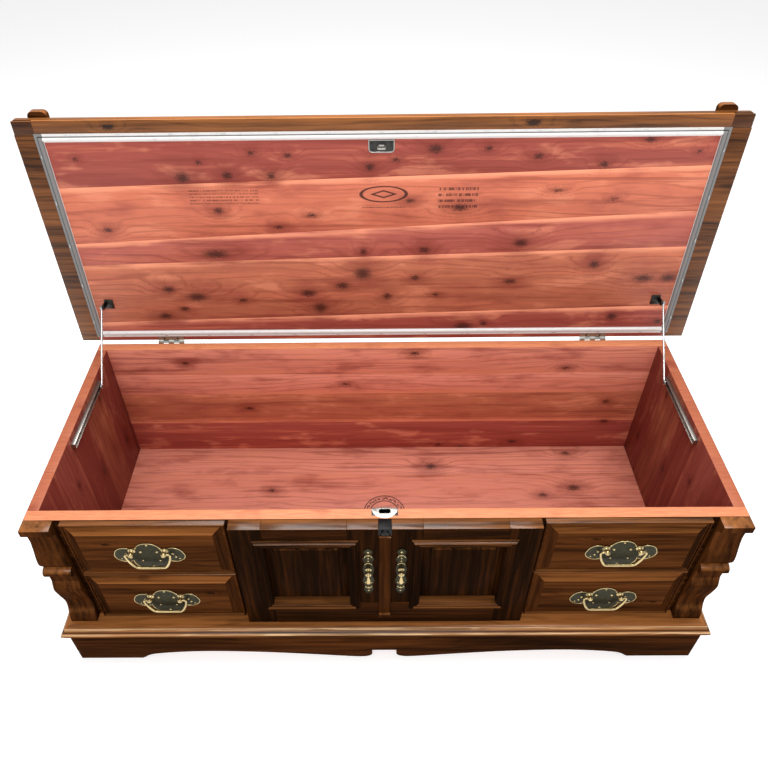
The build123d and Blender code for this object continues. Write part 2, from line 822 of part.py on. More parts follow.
def pendant_plates():
    """Tall narrow plates with a waisted, scrolled outline."""
    with BuildPart() as plates:
        for side in SIDES.values():
            with BuildSketch(front_plane(FRAME_PROUD, side * PENDANT_X, PENDANT_Z)):
                with BuildLine():
                    Spline((0, PENDANT_HALF), (6, 67), (8, 60), (5.5, 52), (10, 40), (7, 28), (10, 8), (7.5, -12),
                           (10.5, -28), (7, -44), (8.5, -56), (5, -67), (0, -PENDANT_HALF))
                    mirror(about=Plane.YZ)
                make_face()
            extrude(amount=PENDANT_PLATE)
    save(plates.part, "pendant_plates")


def pendant_knobs():
    """A round knob on each plate, slotted for the drop's eye, with a pin across the slot."""
    face = FRAME_PROUD + PENDANT_PLATE
    with BuildPart() as knobs:
        for side in SIDES.values():
            x = side * PENDANT_X
            z = PENDANT_Z + KNOB_UP
            with BuildSketch(front_plane(face, x, z)):
                Circle(KNOB_R)
            extrude(amount=KNOB_REACH)
            fillet(front_faces(knobs)[0].edges(), 3)
            low = (x - SLOT_R, FRONT_Y - face - 3, z - KNOB_R)
            block(low, (x + SLOT_R, FRONT_Y - face - KNOB_REACH, z + 3.2), Mode.SUBTRACT)
            with BuildSketch(side_plane(x - SLOT_R)):
                with Locations((FRONT_Y - face - DROP_REACH, z)):
                    Circle(DROP_PIN_R)
            extrude(amount=2 * SLOT_R)
    save(knobs.part, "pendant_knobs")


def pendant_drop(name, side):
    """A teardrop that hangs from an eye."""
    proud = FRAME_PROUD + PENDANT_PLATE + DROP_REACH
    x = side * PENDANT_X
    z = PENDANT_Z + KNOB_UP
    thick = 1.7
    with BuildPart() as drop:
        with BuildSketch(front_plane(proud, x, z)):
            with BuildLine():
                Line((0, -2), (1.2, -2))
                Spline((1.2, -2), (1.3, -9), (4.6, -22), (4, -28), (0, -31))
                Line((0, -31), (0, -2))
            make_face()
        revolve(axis=Axis((x, FRONT_Y - proud, z), (0, 0, 1)))
        with BuildSketch(side_plane(x - thick)):
            with Locations((FRONT_Y - proud, z)):
                Circle(2.8)
        extrude(amount=2 * thick)
        with BuildSketch(side_plane(x - thick)):
            with Locations((FRONT_Y - proud, z)):
                Circle(DROP_PIN_R + FIT)
        extrude(amount=2 * thick, mode=Mode.SUBTRACT)
    save(drop.part, name)


# ---------------------------------------------------------------- lock
SLOT_SIZE = (20, 9)
SLOT_Y = FRONT_Y + 15
CASE_WALL = 1.8


def slot_outline(mode):
    """The staple's slot in plan."""
    with Locations((0, SLOT_Y)):
        RectangleRounded(*SLOT_SIZE, 3.5, mode=mode)


def lock_plate():
    """Let in flush on the rim, with a slot for the keeper's staple."""
    with BuildPart() as plate:
        with BuildSketch(Plane.XY.offset(RIM_Z - PLATE_THICK)):
            lock_plate_outline()
            slot_outline(Mode.SUBTRACT)
        extrude(amount=PLATE_THICK)
    save(plate.part, "lock_plate")


def lock_case():
    """A hollow box let into the front board, open at the slot and bored for the button's stem."""
    top = RIM_Z - PLATE_THICK
    low = (-LOCK_HALF, FRONT_Y + LOCK_FRONT, RIM_Z - LOCK_DROP)
    high = (LOCK_HALF, FRONT_Y + LOCK_BACK, top)
    with BuildPart() as case:
        block(low, high)
        inner_low = tuple(value + CASE_WALL for value in low)
        inner_high = tuple(value - CASE_WALL for value in high)
        block(inner_low, inner_high, Mode.SUBTRACT)
        with BuildSketch(Plane.XY.offset(top)):
            slot_outline(Mode.ADD)
        extrude(amount=-2 * CASE_WALL, mode=Mode.SUBTRACT)
        with BuildSketch(front_plane(-LOCK_FRONT, 0, BUTTON_Z)):
            Circle(STEM_R + FIT)
        extrude(amount=-CASE_WALL, mode=Mode.SUBTRACT)
    save(case.part, "lock_case")


def lock_barrel():
    """The housing in the front frame's notch, bored for the button."""
    with BuildPart() as barrel_block:
        low = (-BARREL_HALF, FRONT_Y - FRAME_PROUD, RIM_Z - BARREL_DROP)
        block(low, (BARREL_HALF, FRONT_Y, RIM_Z - 0.5))
        with BuildSketch(front_plane(FRAME_PROUD, 0, BUTTON_Z)):
            Circle(BUTTON_R + FIT)
        extrude(amount=-FRAME_PROUD + 5, mode=Mode.SUBTRACT)
        with BuildSketch(front_plane(FRAME_PROUD, 0, BUTTON_Z)):
            Circle(STEM_R + FIT)
        extrude(amount=-FRAME_PROUD, mode=Mode.SUBTRACT)
    save(barrel_block.part, "lock_barrel")


BUTTON_LONG = 12
STEM_END = 9.5
LATCH_THICK = 1.5


def push_button():
    """The button and the stem that carries its push through the front board."""
    with BuildPart() as button:
        with BuildSketch(front_plane(FRAME_PROUD + BUTTON_OUT - BUTTON_LONG, 0, BUTTON_Z)):
            Circle(BUTTON_R)
        extrude(amount=BUTTON_LONG)
        fillet(front_faces(button)[0].edges(), 1.5)
        with BuildSketch(front_plane(FRAME_PROUD + BUTTON_OUT - BUTTON_LONG, 0, BUTTON_Z)):
            Circle(STEM_R)
        extrude(amount=-(FRAME_PROUD + BUTTON_OUT - BUTTON_LONG + STEM_END))
    save(button.part, "push_button")


def latch_slide():
    """The plate on the stem's end that lets the keeper go."""
    with BuildPart() as latch:
        low = (-10, FRONT_Y + STEM_END, BUTTON_Z - 9)
        block(low, (10, FRONT_Y + STEM_END + LATCH_THICK, BUTTON_Z + 5))
    save(latch.part, "latch_slide")


# ---------------------------------------------------------------- screws
def screw_heads(sketch_plane, places, radius=2.6):
    """Low round heads on one plane."""
    with BuildSketch(sketch_plane) as circles:
        with Locations(*places):
            Circle(radius)
    extrude(circles.sketch, amount=0.9)


def lid_screws():
    """Heads on the hinge leaves, the stay brackets and the keeper."""
    leaf = []
    plate = [(-17, 434), (17, 434)]
    for side in SIDES.values():
        leaf += [(side * HINGE_X - 14, 5), (side * HINGE_X + 14, 5)]
        plate += [(side * 554, STAY_S - 6), (side * 554, STAY_S + 6)]
    with BuildPart() as heads:
        screw_heads(lid_plane(-LEAF_THICK), leaf, 2.2)
        screw_heads(lid_plane(-1.5), plate)
    save(heads.part, "lid_screws")


def case_screws():
    """Heads on the back leaves of the hinges."""
    places = [(side * HINGE_X + along, RIM_Z - 14) for side in SIDES.values() for along in (-19, 0, 19)]
    with BuildPart() as heads:
        with BuildSketch(Plane.XZ.offset(-REAR_Y - LEAF_THICK)):
            with Locations(*places):
                Circle(2.6)
        extrude(amount=-0.9)
    save(heads.part, "case_screws")


def main():
    os.makedirs("parts", exist_ok=True)
    front_board()
    rear_boards()
    floor_boards()
    front_frame()
    centre_post()
    base_moulding_front()
    apron_front()
    apron_rear()
    lid_top()
    lid_strips()
    lid_lining()
    lid_seal()
    keeper_plate()
    case_hinge_leaves()
    lid_hinge_leaves()
    hinge_pins()
    stay_brackets()
    stay_tracks()
    pendant_plates()
    pendant_knobs()
    lock_plate()
    lock_case()
    lock_barrel()
    push_button()
    latch_slide()
    lid_screws()
    case_screws()
    places = []
    for word, side in SIDES.items():
        end_boards(f"end_boards_{word}", side)
        door_panel(f"door_panel_{word}", side)
        door_moulding(f"door_moulding_{word}", side)
        pilaster(f"pilaster_{word}", side)
        base_moulding_side(f"base_moulding_{word}", side)
        apron_side(f"apron_{word}", side)
        lid_rail(f"lid_rail_{word}", side)
        stay_rod(f"stay_rod_{word}", side)
        stay_slider(f"stay_slider_{word}", side)
        pendant_drop(f"pendant_drop_{word}", side)
        for level in ("upper", "lower"):
            x = side * DRAWER_X
            drawer_front(f"drawer_front_{level}_{word}", x, DRAWER_Z[level])
            bail(f"bail_{level}_{word}", x, PULL_Z[level])
            places.append((x, PULL_Z[level]))
    pull_plates(places)
    pull_posts(places)


main()
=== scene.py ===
"""Cedar-lined hope chest with its lid open: the pieces' shapes and finishes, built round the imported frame."""

import json
from math import atan2, cos, pi, radians, sin, sqrt

import bpy
from bpy.props import FloatProperty, FloatVectorProperty, PointerProperty
from mathutils import Matrix, Vector


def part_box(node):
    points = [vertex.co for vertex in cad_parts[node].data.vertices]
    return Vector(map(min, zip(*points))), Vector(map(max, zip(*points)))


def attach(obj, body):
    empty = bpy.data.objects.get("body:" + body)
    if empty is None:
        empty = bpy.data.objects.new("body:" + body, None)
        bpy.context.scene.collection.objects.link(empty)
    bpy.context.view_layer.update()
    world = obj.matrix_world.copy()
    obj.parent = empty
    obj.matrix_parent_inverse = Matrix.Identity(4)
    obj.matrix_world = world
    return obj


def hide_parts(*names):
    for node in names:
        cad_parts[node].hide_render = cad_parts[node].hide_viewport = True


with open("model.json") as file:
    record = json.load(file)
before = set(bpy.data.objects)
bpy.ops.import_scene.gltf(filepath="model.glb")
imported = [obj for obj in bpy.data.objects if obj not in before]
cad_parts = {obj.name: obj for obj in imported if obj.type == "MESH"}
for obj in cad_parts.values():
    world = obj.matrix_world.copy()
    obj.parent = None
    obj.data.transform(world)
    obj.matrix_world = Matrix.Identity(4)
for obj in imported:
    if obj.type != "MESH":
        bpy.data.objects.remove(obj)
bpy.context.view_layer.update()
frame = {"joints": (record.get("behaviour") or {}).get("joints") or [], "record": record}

bl_info = {
    "name": "Hope Chest",
    "version": (1, 0, 0),
    "blender": (4, 5, 0),
    "location": "3D View > Sidebar > Chest",
    "description": "Builds a cedar-lined chest, piece by piece",
    "category": "Add Mesh",
}

MM = 1000.0


def box_mm(node):
    """The two corners of a node in millimetres."""
    low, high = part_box(node)
    return low * MM, high * MM


# Places that the pieces share, in millimetres
board_low, board_high = box_mm("front_board")
FRONT = board_low.y
RIM = board_high.z
HALF = board_high.x
WALL = board_high.y - FRONT
WALL_FOOT = board_low.z
REAR = box_mm("rear_boards")[1].y
LEDGE = box_mm("front_frame")[0].z
BASE_TOP = box_mm("base_moulding_front")[1].z
FRAME_PROUD = FRONT - box_mm("front_frame")[0].y
FRAME_HALF = box_mm("front_frame")[1].x
DEPTH = REAR - FRONT
SIDES = {"left": -1, "right": 1}

hinge = frame["joints"][0]
PIN = Vector(hinge["pos_m"]) * MM
TILT = radians(hinge["range_deg"][1] - 90)
PIN_BEHIND = 3.0
PIN_RISE = 2.5
LID_DEPTH = 478.0
LID_HALF = box_mm("lid_top")[1].x
LINING = 5.0
LID_THICK = 19.0

# Turns that lay a piece's own u, v and w along other axes of its bench
ACROSS = Matrix(((0, 0, 1, 0), (1, 0, 0, 0), (0, 1, 0, 0), (0, 0, 0, 1)))
UPRIGHT = Matrix.Rotation(-pi / 2, 4, "X")
SIDEWAYS = Matrix.Rotation(pi / 2, 4, "Y")

# Benches: a piece is made lying down, in millimetres, and then set in its place in metres
SCALE = Matrix.Scale(1 / MM, 4)


def bench(u, v, w, origin):
    """A bench whose own axes u, v and w lie along these directions of the chest."""
    turn = Matrix((u, v, w)).transposed().to_4x4()
    return SCALE @ Matrix.Translation(origin) @ turn


TOP = bench((1, 0, 0), (0, 1, 0), (0, 0, 1), (0, FRONT, 0))
FACE = bench((1, 0, 0), (0, 0, 1), (0, -1, 0), (0, FRONT, 0))
END = bench((0, 1, 0), (0, 0, 1), (1, 0, 0), (0, FRONT, 0))
BACK = bench((-1, 0, 0), (0, 0, 1), (0, 1, 0), (0, REAR, 0))
LID_ORIGIN = (0, PIN.y + PIN_BEHIND * sin(TILT) + PIN_RISE * cos(TILT),
              PIN.z + PIN_BEHIND * cos(TILT) - PIN_RISE * sin(TILT))
LID = bench((1, 0, 0), (0, sin(TILT), cos(TILT)), (0, -cos(TILT), sin(TILT)), LID_ORIGIN)


# ------------------------------------------------------------------ what a user can change
def tone(red, green, blue):
    """A colour from its screen values of 0 to 255."""
    return tuple((value / 255 / 12.92 if value < 11 else ((value / 255 + 0.055) / 1.055) ** 2.4)
                 for value in (red, green, blue))


def length(name, description, default):
    return FloatProperty(name=name, description=description, default=default / MM, min=0, soft_max=0.05, precision=5,
                         unit="LENGTH")


def paint(name, description, *default):
    return FloatVectorProperty(name=name, description=description, default=tone(*default), size=3, min=0, max=1,
                               subtype="COLOR")


class ChestSizes(bpy.types.PropertyGroup):
    edge: length("Board edge", "Rounding along the edges of the boards", 0.6)
    metal_edge: length("Plate edge", "Rounding along the edges of thin metal plates", 0.2)
    plate_rim: length("Plate rim", "Width of the raised rim round the pulls' and pendants' plates", 1.6)
    bail: length("Bail radius", "Radius of the pulls' bails at their ends", 1.8)
    staple_gap: length("Staple spacing", "Distance between the staples along the seal", 91)


class ChestColours(bpy.types.PropertyGroup):
    rose: paint("Rose cedar", "The pinkish cedar boards", 190, 100, 86)
    salmon: paint("Salmon cedar", "The lightest cedar boards", 218, 122, 92)
    red: paint("Red cedar", "The darkest cedar boards", 166, 78, 66)
    umber: paint("Brown cedar", "Brownish cedar boards", 194, 112, 82)
    pink: paint("Pink cedar", "The palest cedar boards, inside the case", 244, 154, 130)
    latewood: paint("Cedar grain", "The dark lines of the cedar's grain", 132, 52, 40)
    cream: paint("Cedar sapwood", "The pale streaks in the cedar", 250, 160, 124)
    knot: paint("Knot", "The cedar's knots", 58, 22, 17)
    rim: paint("Rim", "The bare cedar edge round the top of the case", 232, 150, 106)
    dark_stain: paint("Dark stain", "The stained pine's darkest grain", 24, 12, 5)
    stain: paint("Stain", "The stained pine's usual colour", 84, 44, 17)
    # Amber is also painted onto faces that point up, as painted light, in stained().
    amber: paint("Amber stain", "Where the stain is thin", 202, 128, 68)
    # Painted highlight: the pale colour painted along the beads of the base moulding.
    painted_highlight: paint("Worn lacquer", "The pale wood along the beads of the base", 236, 194, 146)
    brass: paint("Brass patina", "Darkened brass", 44, 41, 22)
    bright_brass: paint("Rubbed brass", "Brass on raised edges", 200, 178, 128)
    nickel: paint("Nickel", "Plated leaves, plate and tracks", 176, 176, 170)
    steel: paint("Steel", "Dark steel", 70, 70, 68)
    chrome: paint("Rod", "The stays' rods", 212, 212, 212)
    seal: paint("Seal", "The plastic seal under the lid", 232, 230, 228)
    enamel: paint("Black", "Black metal", 14, 14, 16)


def sizes(name):
    """One of the sizes, in millimetres."""
    return getattr(bpy.context.scene.chest_sizes, name) * MM


def colour(name):
    return tuple(getattr(bpy.context.scene.chest_colours, name))


# ------------------------------------------------------------------ modelling
def clear():
    """Object mode with nothing selected."""
    if bpy.context.object and bpy.context.object.mode != "OBJECT":
        bpy.ops.object.mode_set(mode="OBJECT")
    bpy.ops.object.select_all(action="DESELECT")


def choose(piece):
    clear()
    piece.select_set(True)
    bpy.context.view_layer.objects.active = piece


def edit(piece):
    """Edit mode with the whole piece selected."""
    choose(piece)
    bpy.ops.object.mode_set(mode="EDIT")
    bpy.ops.mesh.select_all(action="SELECT")


def tidy(piece, merge=0.0005):
    """Merges doubles and points every face outwards."""
    edit(piece)
    bpy.ops.mesh.remove_doubles(threshold=merge)
    bpy.ops.mesh.delete_loose(use_verts=True, use_edges=True, use_faces=False)
    bpy.ops.mesh.select_all(action="SELECT")
    bpy.ops.mesh.normals_make_consistent(inside=False)
    clear()
    return piece


def modify(piece, kind, **settings):
    """Adds a modifier, sets it and applies it."""
    choose(piece)
    bpy.ops.object.modifier_add(type=kind)
    modifier = piece.modifiers[-1]
    for key, value in settings.items():
        setattr(modifier, key, value)
    bpy.ops.object.modifier_apply(modifier=modifier.name)
    return piece


def eased(piece, width=0.6, segments=2, angle=40):
    """Rounds a piece's sharp edges."""
    return modify(piece, "BEVEL", width=width, segments=segments, limit_method="ANGLE", angle_limit=radians(angle),
                  use_clamp_overlap=True)


def plank(low, high, edge=None):
    """A board between two corners, in any order."""
    low, high = Vector(low), Vector(high)
    edge = sizes("edge") if edge is None else edge
    clear()
    bpy.ops.mesh.primitive_cube_add(size=1, location=(low + high) / 2, scale=[abs(b - a) for a, b in zip(low, high)])
    bpy.ops.object.transform_apply(location=True, rotation=False, scale=True)
    piece = bpy.context.object
    return eased(piece, edge) if edge else piece


def loop(points, filled):
    """A circle primitive whose corners are moved to these places."""
    clear()
    bpy.ops.mesh.primitive_circle_add(vertices=len(points), fill_type="NGON" if filled else "NOTHING")
    piece = bpy.context.object
    piece.data.vertices.foreach_set("co", [value for point in points for value in point])
    piece.data.update()
    return piece


def prism(outline, low, high, edge=0.0, segments=2):
    """An outline in u and v, extruded from w=low to w=high."""
    piece = loop([(u, v, low) for u, v in outline], True)
    edit(piece)
    bpy.ops.mesh.extrude_region_move(TRANSFORM_OT_translate={"value": (0, 0, high - low)})
    tidy(piece)
    return eased(piece, edge, segments) if edge else piece


def cut_off(piece, point, normal):
    """Saws off what lies beyond a plane, on the side its normal points to."""
    edit(piece)
    bpy.ops.mesh.bisect(plane_co=point, plane_no=normal, use_fill=True, clear_outer=True)
    clear()
    return piece


def mitred(profile, length):
    """A moulding whose profile is (depth from its outer edge, rise), sawn at 45 degrees at both ends."""
    piece = prism(profile, 0, length)
    cut_off(piece, (0, 0, 0), (1, 0, -1))
    cut_off(piece, (0, 0, length), (1, 0, 1))
    return tidy(piece)


def turned(profile, steps=32):
    """A profile of (radius, w) spun about w."""
    piece = loop([(radius, 0, w) for radius, w in profile], False)
    edit(piece)
    bpy.ops.mesh.spin(steps=steps, angle=2 * pi, center=(0, 0, 0), axis=(0, 0, 1))
    return tidy(piece)


def wire(points, radius, thickness=None, sides=4):
    """A round wire through these places. thickness gives its relative radius at each."""
    clear()
    bpy.ops.curve.primitive_nurbs_path_add()
    piece = bpy.context.object
    curve = piece.data
    spline = curve.splines.new("NURBS")
    curve.splines.remove(curve.splines[0])
    spline.points.add(len(points) - 1)
    for index, point in enumerate(points):
        spline.points[index].co = (*point, 1)
        spline.points[index].radius = thickness[index] if thickness else 1
    spline.order_u = 3
    spline.use_endpoint_u = True
    spline.resolution_u = 5
    curve.dimensions = "3D"
    curve.bevel_depth = radius
    curve.bevel_resolution = sides
    curve.use_fill_caps = True
    bpy.ops.object.convert(target="MESH")
    piece = bpy.context.object
    return tidy(piece)


def raised(outline, first, steps):
    """An outline raised to w=first, then drawn in by each step's (inset, rise)."""
    piece = loop([(u, v, 0) for u, v in outline], True)
    edit(piece)
    bpy.ops.mesh.extrude_region_move(TRANSFORM_OT_translate={"value": (0, 0, first)})
    for inset, rise in steps:
        bpy.ops.mesh.inset(thickness=inset, depth=0)
        bpy.ops.transform.translate(value=(0, 0, rise))
    return tidy(piece)


def stepped(half, first, steps):
    """A rectangle of these half sizes, raised as an outline is."""
    return raised([(-half[0], -half[1]), (half[0], -half[1]), half, (-half[0], half[1])], first, steps)


def crowned(radius, count=4):
    """Steps that round off a raised outline's top edge."""
    places = [(radius * (1 - cos(i * pi / 2 / count)), radius * sin(i * pi / 2 / count)) for i in range(count + 1)]
    return [(b[0] - a[0], b[1] - a[1]) for a, b in zip(places, places[1:])]


def flipped(piece, w):
    """Turns a piece over on its bench, so that what was at w=0 is at this w and the rest is below it."""
    return shift(piece, w=w, turn=Matrix.Diagonal((1, 1, -1, 1)))


def framed(profile, half_u, half_v, w=0.0):
    """Four mitred lengths of a moulding round a rectangle with these outer half sizes."""
    lengths = []
    for quarter in range(4):
        half, out = (half_u, half_v) if quarter % 2 == 0 else (half_v, half_u)
        turn = Matrix.Rotation(quarter * pi / 2, 4, "Z") @ Matrix.Translation((-half, -out, w)) @ ACROSS
        lengths.append(shift(mitred(profile, 2 * half), turn=turn))
    return together(lengths)


def bead(radius, tall):
    """A low dome on w=0."""
    return turned([(0, 0), *[(radius * cos(i * pi / 10), tall * sin(i * pi / 10)) for i in range(6)]], 16)


def rod(start, end, radius):
    """A round bar between two places."""
    start, end = Vector(start), Vector(end)
    long = (end - start).length
    edge = min(0.3, radius / 3)
    piece = turned([(0, 0), (radius - edge, 0), (radius, edge), (radius, long - edge), (radius - edge, long),
                    (0, long)], 24)
    return shift(piece, turn=Matrix.Translation(start) @ (end - start).to_track_quat("Z", "Y").to_matrix().to_4x4())


def collar(inner, outer, low, high, soft=0.3):
    """A ring round w."""
    return turned([(inner, low), (outer - soft, low), (outer, low + soft), (outer, high - soft),
                   (outer - soft, high), (inner, high)], 28)


def carve(piece, cutter):
    """Takes one piece's shape out of another."""
    modify(piece, "BOOLEAN", object=cutter, operation="DIFFERENCE", solver="EXACT")
    bpy.data.objects.remove(cutter, do_unlink=True)
    return piece


def shift(piece, u=0.0, v=0.0, w=0.0, turn=None):
    """Moves a piece on its bench, and first turns it by a matrix if one is given."""
    matrix = Matrix.Translation((u, v, w))
    if turn is not None:
        matrix = matrix @ turn
    piece.matrix_world = matrix
    choose(piece)
    bpy.ops.object.transform_apply(location=True, rotation=True, scale=True)
    if matrix.determinant() < 0:
        tidy(piece)
    return piece


def copied(piece):
    """A copy with its own mesh."""
    choose(piece)
    bpy.ops.object.duplicate()
    return bpy.context.object


def painted(piece, finish_name):
    piece.data.materials.clear()
    piece.data.materials.append(finish(finish_name))
    return piece


def tinted(piece, finish_name, test):
    """Gives a second finish to the faces whose centre and normal pass a test."""
    piece.data.materials.append(finish(finish_name))
    for face in piece.data.polygons:
        if test(face.center, face.normal):
            face.material_index = len(piece.data.materials) - 1
    return piece


def together(parts, finish_name=None):
    """Joins parts into one piece."""
    parts = list(parts)
    if finish_name:
        for part in parts:
            painted(part, finish_name)
    clear()
    for part in parts:
        part.select_set(True)
    bpy.context.view_layer.objects.active = parts[0]
    if len(parts) > 1:
        bpy.ops.object.join()
    return bpy.context.object


NODE_BODY = {node: body for body, nodes in frame["record"]["behaviour"]["bodies"].items() for node in nodes}


def finished(piece, node, place, finish_name=None, smooth=35):
    """Sets a piece in its place on the chest, smooths it and lets it stand for its node."""
    if finish_name:
        painted(piece, finish_name)
    shift(piece, turn=place)
    tidy(piece, merge=1e-7)
    choose(piece)
    bpy.ops.object.shade_smooth_by_angle(angle=radians(smooth))
    piece.name = f"{node}_piece"
    piece.data.name = piece.name
    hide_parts(node)
    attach(piece, NODE_BODY[node])
    return piece


# ------------------------------------------------------------------ curves
def arc(start, middle, end, count=8):
    """Points along the circle through three places."""
    (ax, ay), (bx, by), (cx, cy) = start, middle, end
    d = 2 * (ax * (by - cy) + bx * (cy - ay) + cx * (ay - by))
    ux = ((ax ** 2 + ay ** 2) * (by - cy) + (bx ** 2 + by ** 2) * (cy - ay) + (cx ** 2 + cy ** 2) * (ay - by)) / d
    uy = ((ax ** 2 + ay ** 2) * (cx - bx) + (bx ** 2 + by ** 2) * (ax - cx) + (cx ** 2 + cy ** 2) * (bx - ax)) / d
    radius = sqrt((ax - ux) ** 2 + (ay - uy) ** 2)
    first = atan2(ay - uy, ax - ux)
    via = (atan2(by - uy, bx - ux) - first) % (2 * pi)
    span = (atan2(cy - uy, cx - ux) - first) % (2 * pi)
    if via > span:
        span -= 2 * pi
    return [(ux + radius * cos(first + span * i / count), uy + radius * sin(first + span * i / count))
            for i in range(count + 1)]


def flowing(points, count=6):
    """A smooth curve through these places."""
    ends = [points[0], *points, points[-1]]
    out = []
    for a, b, c, d in zip(ends, ends[1:], ends[2:], ends[3:]):
        for i in range(count):
            t = i / count
            out.append(tuple(0.5 * (2 * q + (r - p) * t + (2 * p - 5 * q + 4 * r - s) * t ** 2
                                    + (3 * q - p - 3 * r + s) * t ** 3) for p, q, r, s in zip(a, b, c, d)))
    return out + [points[-1]]


def chain(*stretches):
    """Joins stretches of points, without repeating the places where they meet."""
    out = []
    for stretch in stretches:
        for point in stretch:
            if not out or abs(point[0] - out[-1][0]) + abs(point[1] - out[-1][1]) > 1e-4:
                out.append(point)
    if abs(out[0][0] - out[-1][0]) + abs(out[0][1] - out[-1][1]) < 1e-4:
        out.pop()
    return out


def mirrored(half):
    """An outline from its right half, which runs from top to bottom on the centre line."""
    inner = [point for point in half if abs(point[0]) > 1e-4]
    return [*half, *[(-u, v) for u, v in reversed(inner)]]


def rounded(low, high, radius, corners=(True, True, True, True), count=5):
    """A rectangle with round corners, counter-clockwise from the lower left."""
    (u0, v0), (u1, v1) = low, high
    centres = ((u0 + radius, v0 + radius, pi), (u1 - radius, v0 + radius, 1.5 * pi), (u1 - radius, v1 - radius, 0),
               (u0 + radius, v1 - radius, 0.5 * pi))
    sharp = ((u0, v0), (u1, v0), (u1, v1), (u0, v1))
    out = []
    for (cu, cv, first), corner, is_round in zip(centres, sharp, corners):
        if is_round:
            out += [(cu + radius * cos(first + i * pi / 2 / count), cv + radius * sin(first + i * pi / 2 / count))
                    for i in range(count + 1)]
        else:
            out.append(corner)
    return out


def disc(radius, count=32):
    return [(radius * cos(2 * pi * i / count), radius * sin(2 * pi * i / count)) for i in range(count)]


# ------------------------------------------------------------------ finishes
class Value:
    """A socket's value in a finish. Arithmetic on it adds Math nodes."""

    def __init__(self, tree, socket):
        self.tree = tree
        self.socket = socket

    def math(self, operation, *values):
        node = self.tree.nodes.new("ShaderNodeMath")
        node.operation = operation
        for socket, value in zip(node.inputs, values):
            feed(self.tree, socket, value)
        return Value(self.tree, node.outputs[0])

    def __add__(self, other):
        return self.math("ADD", self, other)

    def __radd__(self, other):
        return self.math("ADD", other, self)

    def __sub__(self, other):
        return self.math("SUBTRACT", self, other)

    def __rsub__(self, other):
        return self.math("SUBTRACT", other, self)

    def __mul__(self, other):
        return self.math("MULTIPLY", self, other)

    def __rmul__(self, other):
        return self.math("MULTIPLY", other, self)

    def __truediv__(self, other):
        return self.math("DIVIDE", self, other)

    def __gt__(self, other):
        return self.math("GREATER_THAN", self, other)

    def __lt__(self, other):
        return self.math("LESS_THAN", self, other)

    def least(self, other):
        return self.math("MINIMUM", self, other)

    def most(self, other):
        return self.math("MAXIMUM", self, other)

    def size(self):
        return self.math("ABSOLUTE", self)

    def part(self):
        return self.math("FRACT", self)

    def whole(self):
        return self.math("FLOOR", self)

    def sine(self):
        return self.math("SINE", self)


def feed(tree, socket, value):
    """Links a value to a socket, or sets the socket."""
    if isinstance(value, Value):
        tree.links.new(value.socket, socket)
    elif isinstance(socket.default_value, float):
        socket.default_value = value
    else:
        socket.default_value = (*value, 1.0) if len(value) < len(socket.default_value) else value


